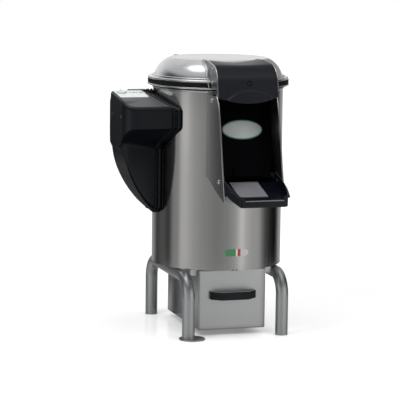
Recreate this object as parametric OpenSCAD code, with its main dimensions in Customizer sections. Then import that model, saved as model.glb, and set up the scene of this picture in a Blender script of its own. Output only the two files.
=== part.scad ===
// Floor-standing electric potato peeler: a steel barrel on tubular legs, with a discharge chute,
// a filter drawer, a hinged lid and a control housing. Millimetres, +Z up, the front towards -Y.
// The row origin is on the floor, under the middle of the whole machine.

/* [Barrel] */
// Outer radius of the barrel
barrel_r = 210; // [208:1:212]
// Thickness of the barrel's sheet
barrel_wall = 1.5; // [1:0.5:2]
// Height of the barrel's upper edge above the floor
barrel_top = 779; // [777:1:780]
// Half width of the discharge port in the barrel's front
port_half = 90; // [88:1:91]
// Height of the port's lower edge
port_bottom = 524; // [522:1:526]
// Height of the port's upper edge
port_top = 766; // [764:1:768]

/* [Legs] */
// Outer radius of the leg tubes
leg_r = 20; // [18:1:21]
// Wall of the leg tubes
leg_wall = 2; // [1.5:0.5:3]
// Sideways distance of each leg frame from the barrel's axis
leg_x = 156; // [155:1:158]
// Distance of the legs in front of and behind the axis
leg_y = 215; // [205:1:225]
// Radius of the bends at the tubes' centre line
leg_bend = 65; // [55:1:75]
// Height of the barrel's lower edge above the floor
base_z = 213; // [211:1:216]
// Radius of the floor fixing flange
flange_r = 41; // [40:1:45]
// Radius of the hole for the floor bolt
flange_hole_r = 5.5; // [4:0.5:6.5]

/* [Filter box and drawer] */
// Half width of the filter box
box_half = 110; // [108:0.5:111]
// Distance of the box's front edge from the axis
box_front = 167; // [164:1:170]
// Distance of the box's rear wall from the axis
box_back = 176; // [172:1:180]
// Clearance of the box above the floor
box_z = 19; // [17:1:24]
// Half length of the drawer handle
handle_half = 76; // [66:1:80]
// Height of the drawer handle's middle
handle_z = 131; // [120:1:140]
// Distance that the handle stands out
handle_out = 36; // [32:1:42]
// Outer radius of the drain pipe
drain_r = 25; // [20:1:27]

/* [Chute and door] */
// Half width of the chute over its side cheeks
chute_half = 97; // [96.5:0.5:98]
// Height of the door's hinge line
door_pivot_z = 759; // [758:1:760]
// Distance of the door's hinge line from the axis
door_pivot_y = 244; // [243:1:246]
// Slope of the delivery tray in degrees
tray_tilt = 16.7; // [16:0.1:17]
// Distance of the tray's front edge from the axis
tray_reach = 480; // [476:1:484]
// Height of the tray's corner posts above its lowest edge
tray_post = 34; // [28:1:38]
// Width of the oval badge
badge_w = 133; // [110:1:140]

/* [Lid] */
// Radius of the dome at its foot
dome_r = 207; // [206:0.5:208]
// Height of the dome's flat top
dome_top = 876.5; // [876:0.5:877.5]
// Radius of the dome's rounded shoulder
dome_arc = 80; // [79:0.5:81]
// Outer radius of the lid's rim band
rim_r = 228.5; // [227:0.5:229.5]
// Height of the lid's hinge line
hinge_z = 859; // [858:1:861]
// Distance of the lid's hinge line behind the axis
hinge_y = 238; // [237:1:240]
// Radius of the lid's hinge pin
hinge_pin_r = 5; // [4:0.5:6]

/* [Drive] */
// Radius of the abrasive plate
plate_r = 190; // [180:1:196]
// Height of the abrasive plate's upper face
plate_z = 502; // [500:1:504]
// Radius of the main shaft
shaft_r = 12.5; // [12:0.5:13]
// Belt radius on the driven pulley
driven_r = 80; // [76:1:80]
// Belt radius on the motor pulley
motor_pulley_r = 23.5; // [22:0.5:25]
// Distance between the shaft and the motor
motor_y = 118; // [116:1:120]
// Radius of the motor's body
motor_r = 68; // [60:1:69]

/* [Controls] */
// Distance of the housing's outer face from the axis
housing_x = 348; // [346:1:350]
// Wall of the control housing
housing_wall = 3; // [2.5:0.5:3.5]
// Width of the control label
label_w = 94; // [90:1:95]
// Radius of the timer knob
knob_r = 16; // [13:0.5:18]
// Height of the timer knob above the label
knob_h = 7; // [6:0.5:10]
// Radius of the push buttons
button_r = 8; // [6:0.5:9]

/* [Hidden] */
$fn = 64;

// Colours
steel = [0.62, 0.63, 0.64];
polished = [0.80, 0.81, 0.83];
dark_steel = [0.42, 0.43, 0.45];
tube_grey = [0.50, 0.52, 0.54];
black_plastic = [0.05, 0.06, 0.08];
rubber_black = [0.03, 0.03, 0.03];
pale_grey = [0.78, 0.80, 0.80];
grit = [0.35, 0.33, 0.31];
motor_blue = [0.25, 0.33, 0.45];

// Overall reach, from which the origin follows
ear_r = 11;
axis_x = (housing_x - rim_r) / 2;
axis_y = (tray_reach - hinge_y - ear_r) / 2;
inner_r = barrel_r - barrel_wall;
plate_fit_r = inner_r - 0.2;
sheet = 1.5;

// Levels inside the barrel
base_t = 3;
floor_z = 467;
floor_t = 3;
duct_y = 125;
duct_r = 36;
duct_wall = 2.5;
bolt_r = 4;
bolt_y = 100;
pulley_z = 229;
pulley_h = 20;
belt_t = 4;
belt_gap = 0.3;
mount_z = 264;
mount_t = 5;
motor_len = 160;

// Chute: the cheeks' lower and front edges as [y, z], from the barrel outwards and up again
chute_bottom = [
    [-170, 513], [-205, 512], [-228, 506], [-250, 497], [-291, 482], [-340, 467], [-386, 454]
];
cheek_front = [
    [-387, 466], [-379, 496], [-363, 552], [-345, 636], [-327, 710], [-313, 751], [-302, 771],
    [-294, 775], [-170, 775]
];
apron_y = 386;
apron_z = 477;
cheek_t = 1.5;
cheek_in = chute_half - cheek_t;
hem_w = 5;
lower_screw = [-325, 514];
screw_r = 4;

// Door
door_slope = 21.1;
door_top_y = 218;
door_top_z = 755;
door_low_z = 520;
door_low_y = door_top_y + (door_top_z - door_low_z) * tan(door_slope);
door_half = cheek_in - 1.5;
door_low_half = 80;
door_wall = 3;
door_seat_r = 211;
ear_in = door_half - 4.5;
door_ear_r = 12;

// Tray: its floor rises backwards from the low front edge
tray_low_z = 452;
tray_end = 296;
tray_rise = tan(tray_tilt);
tray_wall = 3;
tray_lip = 22;
tray_half = cheek_in - 0.4;
tray_front_half = 79;
tray_end_z = tray_low_z + (tray_reach - tray_end) * tray_rise;

// Lid
dome_a0 = 12;
dome_a1 = 68;
dome_c = [dome_r - dome_arc * cos(dome_a0), dome_top - dome_arc * sin(dome_a1)];
dome_foot_z = dome_c[1] + dome_arc * sin(dome_a0);
skirt_z = 807;
rim_low_z = 790.5;
rim_top_z = dome_foot_z - 2;
band_r = rim_r - 4.5;
groove_low = 796.5;
groove_high = 807.5;
dome_flat_r = dome_c[0] + dome_arc * cos(dome_a1);
seal_low_z = barrel_top + 6.4;

// Visor: centre and radius of its rounded nose, as [y, z]
nose_c = [-243, 812];
nose_r = 58;
nose_a0 = 98;
nose_a1 = 172;
visor_t = 3;
visor_half = 96.3;
visor_top = [[-122, 877.8], [-185, 879.4]];
visor_mid = [-307, 785];
visor_low = [-311, 750];
visor_lip_r = 265;
visor_lip_z = 755;
splay = 3.2;
dish_z = 869.5;
dish_flat = 60;
dish_end = -300;
grip_r = 109;
grip_top_z = 796;
flange_low = [-306, 796];
flange_screw = [-228, 856];
plug_x = 5.5;
plug_z = 816;
plug_r = 6.5;

// Control housing: outlines as [y, z], [x, z] and [x, y]
head_side = [
    [72, 745], [66, 758], [54, 766], [36, 769], [-75, 754.5], [-130, 731], [-136, 727],
    [-139, 721], [-139, 664], [-135, 656], [-100, 626], [-60, 600], [72, 600]
];
lower_side = [
    [72, 740], [-110, 740], [-110, 470], [-60, 400], [-38, 384], [-10, 376], [40, 380],
    [66, 410], [72, 460]
];
housing_bend = 370;
housing_bend_z = 660;
housing_bend_angle = 49;
housing_in = 120;
housing_rear = 72;
rear_r = 36;
head_front = -139;
head_r = 48;
ridge_y = -96;
ridge_r = 18;
panel_y = -52;
panel_x = -204;
housing_foot = [-208, 371];
housing_tilt = atan2(769 - 754.5, 36 + 75);
hump_x = 287;
hump_front = 38;
hump_top = 771.5;
housing_seat_r = barrel_r + 3.5;
gasket_out = 2;
label_mid = [-297, -20, 762.2];
label_len = 98;
label_r = 9;
label_t = 1.2;
fall_end = hump_front + 20;
knob_at = [-26, 18];
start_at = [8, 20];
stop_at = [32, 20];
electrics_x = -226;
gland_at = [-285, 72, 520];
gland_r = 8;
hinge_arm_x = 66;
hinge_arm_w = 12;
lid_arm_w = 9;
lid_arm_r = 9;
inlet_z = 650;
inlet_r = 10.5;
drawer_top = 208;
drain_z = 55;
drain_end = 222;
sticker_z = 270.5;
sticker_x = 3;

function arc(c, r, a0, a1, n) =
    [for (i = [0:n]) c + r * [cos(a0 + (a1 - a0) * i / n), sin(a0 + (a1 - a0) * i / n)]];
function shifted(points, d) = [for (p = points) p + d];
function reversed(points) = [for (i = [len(points) - 1:-1:0]) points[i]];
function ellipse_points(w, h, n) =
    [for (i = [0:n - 1]) [w / 2 * cos(i * 360 / n), h / 2 * sin(i * 360 / n)]];

// Everything is drawn about the barrel's axis and then moved into the machine's frame
module on_axis() translate([axis_x, axis_y, 0]) children();
// Extrudes a [y, z] outline along X
module along_x(x0, x1) translate([x0, 0, 0]) rotate([90, 0, 90]) linear_extrude(x1 - x0) children();
// Extrudes an [x, z] outline along Y
module along_y(y0, y1) translate([0, y1, 0]) rotate([90, 0, 0]) linear_extrude(y1 - y0) children();
module ring(r_out, r_in, z0, z1) {
    difference() {
        translate([0, 0, z0]) cylinder(r = r_out, h = z1 - z0, $fn = 128);
        translate([0, 0, z0 - 1]) cylinder(r = r_in, h = z1 - z0 + 2, $fn = 128);
    }
}
module rod_x(y, z, r, x0, x1) translate([x0, y, z]) rotate([0, 90, 0]) cylinder(r = r, h = x1 - x0);
module rod_y(x, z, r, y0, y1) translate([x, y0, z]) rotate([-90, 0, 0]) cylinder(r = r, h = y1 - y0);
module rod_z(x, y, r, z0, z1) translate([x, y, z0]) cylinder(r = r, h = z1 - z0);
module box_between(a, b) translate(a) cube(b - a);

// ---- Barrel and base ----
module barrel() {
    color(steel) on_axis() difference() {
        ring(barrel_r, inner_r, base_z, barrel_top);
        box_between([-port_half, -barrel_r - 20, port_bottom], [port_half, -barrel_r / 2, port_top]);
        rod_y(0, inlet_z, 9.2, barrel_r / 2, barrel_r + 20);
        rod_x(0, 640, 15, -barrel_r - 20, -barrel_r / 2);
    }
}
module barrel_rim() {
    lip = 3.5;
    color(polished) on_axis() rotate_extrude($fn = 128) {
        translate([inner_r - 3, barrel_top]) square([lip + barrel_wall + 3 - 2, 6]);
        translate([barrel_r + lip - 3, barrel_top + 3]) circle(r = 3, $fn = 32);
    }
}
module drum_liner() {
    color(grit) on_axis() difference() {
        ring(plate_fit_r, plate_fit_r - 3, 512, 764);
        box_between([-port_half - 2, -barrel_r - 20, 500], [port_half + 2, -barrel_r / 2, 780]);
        rod_y(0, inlet_z, 12, barrel_r / 2, barrel_r + 20);
    }
}
module chamber_floor() {
    collar_r = 19;
    color(steel) on_axis() {
        difference() {
            union() {
                rod_z(0, 0, plate_fit_r, floor_z, floor_z + floor_t);
                rod_z(0, 0, collar_r, floor_z, floor_z + 13);
            }
            rod_z(0, 0, shaft_r + 2.5, floor_z - 1, floor_z + 14);
            rod_z(0, -duct_y, duct_r - duct_wall, floor_z - 1, floor_z + 14);
        }
    }
}
module base_plate() {
    color(steel) on_axis() difference() {
        rod_z(0, 0, plate_fit_r, base_z, base_z + base_t);
        rod_z(0, -duct_y, duct_r + 0.2, base_z - 1, base_z + base_t + 1);
        for (x = [-leg_x, leg_x], y = [-bolt_y, bolt_y]) {
            rod_z(x, y, bolt_r + 0.1, base_z - 1, base_z + base_t + 1);
        }
    }
}

// ---- Legs ----
module leg_path(r) {
    run_z = base_z - leg_r;
    run_half = leg_y - leg_bend;
    for (s = [-1, 1]) {
        translate([0, s * leg_y, 0]) cylinder(r = r, h = run_z - leg_bend);
        translate([0, s * run_half, run_z - leg_bend]) rotate([0, 0, s * 90]) rotate([90, 0, 0])
            rotate_extrude(angle = 90) translate([leg_bend, 0]) circle(r = r);
    }
    rod_y(0, run_z, r, -run_half, run_half);
}
module leg_frame(x) {
    color(tube_grey) on_axis() translate([x, 0, 0]) difference() {
        leg_path(leg_r);
        leg_path(leg_r - leg_wall);
        for (s = [-1, 1]) translate([0, s * leg_y, -1]) cylinder(r = leg_r - leg_wall, h = 2);
        for (y = [-bolt_y, bolt_y]) rod_z(0, y, bolt_r + 0.1, base_z - leg_r, base_z + 1);
    }
}
module left_leg_frame() leg_frame(-leg_x);
module right_leg_frame() leg_frame(leg_x);
module leg_plugs() {
    color(rubber_black) on_axis() for (x = [-leg_x, leg_x], y = [-leg_y, leg_y]) {
        rod_z(x, y, leg_r - leg_wall, 0, 14);
    }
}
module floor_flange() {
    at = [-leg_x + 10, -leg_y - 8];
    color(tube_grey) on_axis() difference() {
        rod_z(at[0], at[1], flange_r, 0, 4);
        rod_z(-leg_x, -leg_y, leg_r, -1, 5);
        rod_z(at[0] + 25, at[1] - 4, flange_hole_r, -1, 5);
    }
}
module leg_bolts() {
    color(polished) on_axis() for (x = [-leg_x, leg_x], y = [-bolt_y, bolt_y]) {
        rod_z(x, y, bolt_r, base_z - 14, base_z + base_t);
        translate([x, y, base_z + base_t]) cylinder(r = 7, h = 5, $fn = 6);
    }
}

// ---- Chute ----
module cheek_outline() polygon(concat(chute_bottom, cheek_front));
module cheek(side) {
    x0 = side < 0 ? -chute_half : cheek_in;
    hem_x = side < 0 ? -chute_half - 1 : chute_half;
    color(dark_steel) on_axis() difference() {
        union() {
            along_x(x0, x0 + cheek_t) cheek_outline();
            along_x(hem_x, hem_x + 1) difference() {
                cheek_outline();
                translate([hem_w, 0]) cheek_outline();
                translate([-220, 400]) square([400, 500]);
            }
        }
        rod_z(0, 0, barrel_r, 400, 800);
        rod_x(-door_pivot_y, door_pivot_z, screw_r + 0.02, -150, 150);
        rod_x(lower_screw[0], lower_screw[1], screw_r + 0.02, -150, 150);
    }
}
module left_cheek() cheek(-1);
module right_cheek() cheek(1);
module chute_floor() {
    apron = [[-apron_y, apron_z], [-apron_y + sheet, apron_z], [-apron_y + sheet, 454 + 2 * sheet]];
    color(dark_steel) on_axis() difference() {
        along_x(-cheek_in, cheek_in)
            polygon(concat(chute_bottom, apron, reversed(shifted(chute_bottom, [2, sheet + 0.3]))));
        rod_z(0, 0, barrel_r, 400, 800);
    }
}
module tray_plan(d) {
    polygon([
        [-tray_front_half - d, -tray_reach - d], [tray_front_half + d, -tray_reach - d],
        [tray_half - 5 + d, -428], [tray_half + d, -388], [tray_half + d, -tray_end - d],
        [-tray_half - d, -tray_end - d], [-tray_half - d, -388], [-tray_half + 5 - d, -428]
    ]);
}
module tray_side(lift, far) {
    polygon([
        [-tray_reach - far, tray_low_z + lift - far * tray_rise],
        [-tray_reach - far, tray_low_z + tray_post + far], [-447, 497 + far], [-403, 511 + far],
        [-366, 521 + far], [-306, 536 + far], [-tray_end + far, 536 + far],
        [-tray_end + far, tray_end_z + lift + far * tray_rise]
    ]);
}
module chute_tray() {
    post = 18;
    rim_w = 4;
    color(black_plastic) on_axis() difference() {
        union() {
            intersection() {
                along_x(-120, 120) tray_side(0, 0);
                translate([0, 0, 400]) linear_extrude(200) tray_plan(0);
            }
            intersection() {
                along_x(-120, 120) tray_side(tray_post - 5, 0);
                translate([0, 0, 400]) linear_extrude(200) polygon([
                    [-tray_front_half - rim_w, -tray_reach], [tray_front_half + rim_w, -tray_reach],
                    [tray_half - 2, -424], [tray_half, -392], [-tray_half, -392],
                    [-tray_half + 2, -424]
                ]);
            }
        }
        intersection() {
            along_x(-120, 120) tray_side(tray_wall, 20);
            translate([0, 0, 400]) linear_extrude(200) tray_plan(-tray_wall);
        }
        box_between([-tray_front_half + post, -tray_reach - 1, tray_low_z + tray_lip],
            [tray_front_half - post, -tray_reach + 10, 520]);
        rod_x(lower_screw[0], lower_screw[1], screw_r + 0.02, -150, 150);
    }
}
module tray_slide_plate() {
    start = 68;
    left = -57;
    width = 92;
    color(pale_grey) on_axis() translate([left, -tray_reach + start, tray_low_z + start * tray_rise])
        rotate([tray_tilt, 0, 0]) translate([0, 0, tray_wall]) cube([width, 112, 2]);
}
module cheek_screws() {
    color(polished) on_axis() for (at = [[-door_pivot_y, door_pivot_z], lower_screw], s = [-1, 1]) {
        mirror([s < 0 ? 1 : 0, 0, 0]) {
            rod_x(at[0], at[1], screw_r, ear_in, chute_half);
            rod_x(at[0], at[1], 7, chute_half, chute_half + 2);
            rod_x(at[0], at[1], 5, chute_half + 2, chute_half + 3.5);
        }
    }
}

// ---- Drive ----
module bearing_housing() {
    color(tube_grey) on_axis() difference() {
        union() {
            rod_z(0, 0, 60, floor_z - 8, floor_z);
            rod_z(0, 0, 33, 288, floor_z - 7);
        }
        rod_z(0, 0, 22, 280, floor_z + 1);
        rod_z(0, 0, 26, floor_z - 30, floor_z + 1);
        rod_z(0, 0, 26, 287, 306);
    }
}
module shaft_bearings() {
    color(polished) on_axis() {
        ring(26, shaft_r + 0.05, floor_z - 30, floor_z - 15);
        ring(26, shaft_r + 0.05, 291, 306);
    }
}
module shaft_seal() {
    color(rubber_black) on_axis() ring(26, shaft_r + 0.08, floor_z - 12, floor_z - 1);
}
module main_shaft() {
    color(polished) on_axis() rod_z(0, 0, shaft_r, pulley_z - 6, plate_z - 12);
}
module pulley(groove, bore) {
    rotate_extrude() polygon([
        [bore, 0], [groove + 5, 0], [groove + 5, 1.5], [groove, 3], [groove, pulley_h - 3],
        [groove + 5, pulley_h - 1.5], [groove + 5, pulley_h], [bore, pulley_h]
    ]);
}
module driven_pulley() {
    color(tube_grey) on_axis() translate([0, 0, pulley_z]) pulley(driven_r, shaft_r);
}
module motor_pulley() {
    color(tube_grey) on_axis() translate([0, motor_y, pulley_z]) pulley(motor_pulley_r, 9.5);
}
module motor_shaft() {
    color(polished) on_axis() rod_z(0, motor_y, 9.5, pulley_z - 4, mount_z + 30);
}
module drive_belt() {
    inset = 3.5;
    color(rubber_black) on_axis() translate([0, 0, pulley_z + inset])
        linear_extrude(pulley_h - 2 * inset) difference() {
            hull() {
                circle(r = driven_r + belt_gap + belt_t);
                translate([0, motor_y]) circle(r = motor_pulley_r + belt_gap + belt_t);
            }
            hull() {
                circle(r = driven_r + belt_gap);
                translate([0, motor_y]) circle(r = motor_pulley_r + belt_gap);
            }
        }
}
module motor_body() {
    z0 = mount_z + mount_t;
    color(motor_blue) on_axis() difference() {
        union() {
            rod_z(0, motor_y, motor_r, z0, z0 + 10);
            rod_z(0, motor_y, motor_r - 6, z0 + 10, z0 + motor_len);
            for (i = [0:17]) translate([0, motor_y, z0 + 10]) rotate([0, 0, i * 20])
                translate([motor_r - 8, -1.2, 0]) cube([7, 2.4, motor_len - 40]);
            rod_z(0, motor_y, motor_r - 2, z0 + motor_len - 28, z0 + motor_len);
            box_between([-94, motor_y - 40, z0 + 40], [-motor_r + 10, motor_y + 25, z0 + 110]);
        }
        rod_z(0, motor_y, 9.58, z0 - 1, mount_z + 32);
    }
}
module motor_mount() {
    posts = [[-72, 66], [72, 66], [-68, 178], [68, 178]];
    color(dark_steel) on_axis() {
        difference() {
            box_between([-82, 52, mount_z], [82, 188, mount_z + mount_t]);
            rod_z(0, motor_y, 22, mount_z - 1, mount_z + mount_t + 1);
        }
        for (p = posts) rod_z(p[0], p[1], 6, base_z + base_t, mount_z);
    }
}
module abrasive_plate() {
    plate_t = 12;
    hump_r = 60;
    color(grit) on_axis() difference() {
        union() {
            rod_z(0, 0, plate_r, plate_z - plate_t, plate_z);
            rod_z(0, 0, 32, plate_z - plate_t - 6, plate_z);
            rod_z(0, 0, 22, plate_z, plate_z + 8);
            intersection() {
                for (a = [30, 150, 270]) rotate([0, 0, a]) translate([36, 0, plate_z - hump_r + 11])
                    rotate([0, 90, 0]) cylinder(r = hump_r, h = plate_r - 46);
                rod_z(0, 0, plate_r, plate_z - 6, plate_z + 40);
            }
        }
        rod_z(0, 0, shaft_r, plate_z - 40, plate_z - plate_t);
    }
}

// ---- Water way ----
module peel_duct() {
    color(steel) on_axis() translate([0, -duct_y, 0]) ring(duct_r, duct_r - duct_wall, base_z - 8, floor_z);
}
module filter_box() {
    color(steel) on_axis() difference() {
        box_between([-box_half, -box_front, box_z], [box_half, box_back - sheet, base_z]);
        box_between([-box_half + sheet, -box_front - 1, box_z + sheet],
            [box_half - sheet, box_back, base_z + 1]);
    }
}
module box_brackets() {
    leg = 25;
    drop = 22;
    color(steel) on_axis() for (sx = [-1, 1], y = [-145, 138]) {
        mirror([sx < 0 ? 1 : 0, 0, 0]) {
            along_y(y - 12, y + 12) polygon([
                [box_half, base_z], [box_half + leg, base_z], [box_half + leg, base_z - 2],
                [box_half + 2, base_z - 2], [box_half + 2, base_z - drop], [box_half, base_z - drop]
            ]);
            along_y(y - 12, y - 10) polygon([
                [box_half, base_z], [box_half + leg, base_z], [box_half + leg, base_z - 14],
                [box_half + 12, base_z - drop], [box_half, base_z - drop]
            ]);
        }
    }
}
// The box's rear wall, with the drain pipe welded into it
module drain_pipe() {
    color(steel) on_axis() difference() {
        union() {
            box_between([-box_half, box_back - sheet, box_z], [box_half, box_back, base_z]);
            rod_y(0, drain_z, drain_r, box_back - 4, drain_end);
            rod_y(0, drain_z, drain_r + 7, box_back - 1, box_back + 3);
        }
        rod_y(0, drain_z, drain_r - 2.5, box_back - 5, drain_end + 1);
    }
}
module water_inlet() {
    color(polished) on_axis() difference() {
        union() {
            difference() {
                rod_y(0, inlet_z, 17, barrel_r - 8, barrel_r + 7);
                rod_z(0, 0, barrel_r, inlet_z - 30, inlet_z + 30);
            }
            rod_y(0, inlet_z, 9, barrel_r - 14, barrel_r + 7);
            rod_y(0, inlet_z, inlet_r, barrel_r + 7, barrel_r + 32);
        }
        rod_y(0, inlet_z, 7, barrel_r - 15, barrel_r + 33);
    }
}

// ---- Control housing ----
module housing_front_outline() {
    bend_c = [-housing_x + housing_bend, housing_bend_z];
    polygon(concat(
        [[-housing_in, 800], [-housing_x, 800]],
        arc(bend_c, housing_bend, 180, 180 + housing_bend_angle, 10),
        [housing_foot, [-housing_in, housing_foot[1]]]
    ));
}
module head_plan() {
    polygon(concat(
        arc([-housing_x + head_r, head_front + head_r], head_r, 180, 270, 6),
        [[-housing_in, head_front], [-housing_in, housing_rear]],
        arc([-housing_x + rear_r, housing_rear - rear_r], rear_r, 90, 180, 6)
    ));
}
module lower_plan() {
    polygon(concat(
        arc([-housing_x + ridge_r, ridge_y + ridge_r], ridge_r, 180, 285, 6),
        [[panel_x, panel_y], [-housing_in, panel_y], [-housing_in, housing_rear]],
        arc([-housing_x + rear_r, housing_rear - rear_r], rear_r, 90, 180, 6)
    ));
}
module housing_block(e) {
    intersection() {
        along_x(-housing_x - 20, -housing_in) offset(delta = e) polygon(head_side);
        translate([0, 0, 360]) linear_extrude(430) offset(delta = e) head_plan();
    }
    intersection() {
        along_x(-housing_x - 20, -housing_in) offset(delta = e) polygon(lower_side);
        along_y(-160, 90) offset(delta = e) housing_front_outline();
        translate([0, 0, 360]) linear_extrude(430) offset(delta = e) lower_plan();
    }
}
module on_label() translate(label_mid) rotate([housing_tilt, 0, 0]) children();
module control_holes() {
    on_label() {
        translate([knob_at[0], knob_at[1], -20]) cylinder(r = 3.06, h = 30);
        translate([start_at[0], start_at[1], -20]) cylinder(r = button_r + 0.4, h = 30);
        translate([stop_at[0], stop_at[1], -20]) cylinder(r = button_r + 0.4, h = 30);
    }
}
// The strip of the top between the label and the barrel falls away towards the barrel
module inner_fall() {
    start = label_w / 2 + 3;
    on_label() along_y(-110, fall_end)
        polygon([[start, 0], [start, 30], [200, 30], [200, (start - 200) / 3]]);
}
module screw_places() {
    for (y = [-84, 26]) translate([-housing_x, y, 697]) rotate([0, 90, 0]) children();
}
module control_housing() {
    color(black_plastic) on_axis() difference() {
        union() {
            housing_block(0);
            box_between([-hump_x, hump_front, 750], [-housing_in, housing_rear - 4, hump_top]);
        }
        housing_block(-housing_wall);
        rod_z(0, 0, housing_seat_r, 340, 800);
        inner_fall();
        control_holes();
        screw_places() {
            translate([0, 0, -1]) cylinder(r = 5, h = 2.5);
            cylinder(r = 2.1, h = 20);
        }
        rod_y(gland_at[0], gland_at[2], gland_r + 0.1, 60, 80);
    }
}
module housing_gasket() {
    color(rubber_black) on_axis() intersection() {
        difference() {
            housing_block(gasket_out);
            housing_block(-5);
            inner_fall();
        }
        ring(housing_seat_r, barrel_r, 350, barrel_top - 4);
    }
}
module control_label() {
    color(pale_grey) on_axis() difference() {
        on_label() {
            for (x = [-1, 1], y = [-1, 1])
                translate([x * (label_w / 2 - label_r), y * (label_len / 2 - label_r), 0])
                    cylinder(r = label_r, h = label_t);
            translate([-label_w / 2 + label_r, -label_len / 2, 0])
                cube([label_w - 2 * label_r, label_len, label_t]);
            translate([-label_w / 2, -label_len / 2 + label_r, 0])
                cube([label_w, label_len - 2 * label_r, label_t]);
        }
        control_holes();
    }
}
module control_board() {
    board_x = -238;
    color("darkgreen") on_axis() {
        box_between([board_x - 2, -32, 630], [board_x, 52, 712]);
        box_between([board_x - 24, -22, 650], [board_x - 2, 18, 692]);
        for (y = [-26, 46], z = [636, 706]) rod_x(y, z, 3, board_x, electrics_x - 2);
    }
}
module contactor() {
    back = electrics_x - 2;
    color(pale_grey) on_axis() {
        box_between([back - 62, -28, 515], [back, 17, 595]);
        box_between([back - 54, -24, 595], [back - 8, 13, 603]);
    }
}
module electrics_plate() {
    color(polished) on_axis() {
        box_between([electrics_x - 2, -40, 500], [electrics_x, 60, 720]);
        for (z = [520, 700], y = [-20, 40]) difference() {
            rod_x(y, z, 5, electrics_x, -190);
            rod_z(0, 0, barrel_r, 480, 720);
        }
    }
}
module cable_gland() {
    color(rubber_black) on_axis() difference() {
        union() {
            rod_y(gland_at[0], gland_at[2], gland_r, 62, 72);
            rod_y(gland_at[0], gland_at[2], 13, 72, 80);
            rod_y(gland_at[0], gland_at[2], 10, 80, 92);
        }
        rod_y(gland_at[0], gland_at[2], 4.5, 58, 93);
    }
}
module housing_screws() {
    color(polished) on_axis() screw_places() {
        cylinder(r = 2, h = 18);
        translate([0, 0, 0.2]) cylinder(r = 4.2, h = 1.3);
    }
}
module timer_knob() {
    color(pale_grey) on_axis() on_label() translate([knob_at[0], knob_at[1], 0]) {
        translate([0, 0, label_t + 0.4]) cylinder(r = knob_r, h = knob_h - 2);
        translate([0, 0, label_t + knob_h - 1.7]) cylinder(r1 = knob_r, r2 = knob_r - 2, h = 2);
        translate([-1.5, 0, label_t + 1]) cube([3, knob_r + 1.5, knob_h - 1]);
        translate([0, 0, -14]) cylinder(r = 3, h = 16);
    }
}
module push_button(at) {
    on_label() translate([at[0], at[1], -6]) cylinder(r = button_r, h = label_t + 9);
}
module start_button() color("seagreen") on_axis() push_button(start_at);
module stop_button() color("firebrick") on_axis() push_button(stop_at);

// ---- Lid ----
function dome_outline(e) = concat(
    [[0, dome_top + e]], reversed(arc(dome_c, dome_arc + e, dome_a0, dome_a1, 12)),
    [[dome_r + e, skirt_z], [0, skirt_z]]
);
module dome_solid(e) rotate_extrude($fn = 128) polygon(dome_outline(e));
module lid_dome() {
    color(polished) on_axis() rotate_extrude($fn = 128) polygon(concat(
        [[0, dome_top]], reversed(arc(dome_c, dome_arc, dome_a0, dome_a1, 12)), [[dome_r, skirt_z]],
        [[dome_r - sheet, skirt_z]], arc(dome_c, dome_arc - sheet, dome_a0, dome_a1, 12),
        [[0, dome_top - sheet]]
    ));
}
module lid_rim_band() {
    t = 1.8;
    color(polished) on_axis() rotate_extrude($fn = 128) polygon(concat(
        [[dome_r, rim_top_z - t], [dome_r, rim_top_z]],
        reversed(arc([rim_r - 7, 808], 7, 0, 80, 5)),
        [
            [rim_r, groove_high], [band_r, groove_high], [band_r, groove_low], [rim_r, groove_low],
            [rim_r, rim_low_z], [dome_r + 5, rim_low_z], [dome_r + 5, rim_low_z + t],
            [rim_r - t, rim_low_z + t], [rim_r - t, groove_low - t], [band_r - t, groove_low - t],
            [band_r - t, groove_high + t], [band_r - 3, 811]
        ]
    ));
}
module lid_seal() {
    color(rubber_black) on_axis() {
        ring(rim_r - 1.2, band_r, groove_low, groove_high);
        ring(dome_r + 8, dome_r + 1, seal_low_z, rim_low_z);
    }
}
function visor_path(d, end) = concat(
    [for (p = visor_top) p + [0, d]], arc(nose_c, nose_r + d, nose_a0, nose_a1, 12), [end - [d, 0]]
);
function dish(d) = [for (x = [-100:8:100]) [x, dish_z + d + pow(max(0, abs(x) - dish_flat), 2) / 140]];
module visor_profile(d) {
    polygon(concat(
        visor_path(d, visor_mid), [visor_low - [d, 0], visor_low + [80, 0], [-122, 800]]
    ));
}
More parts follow.
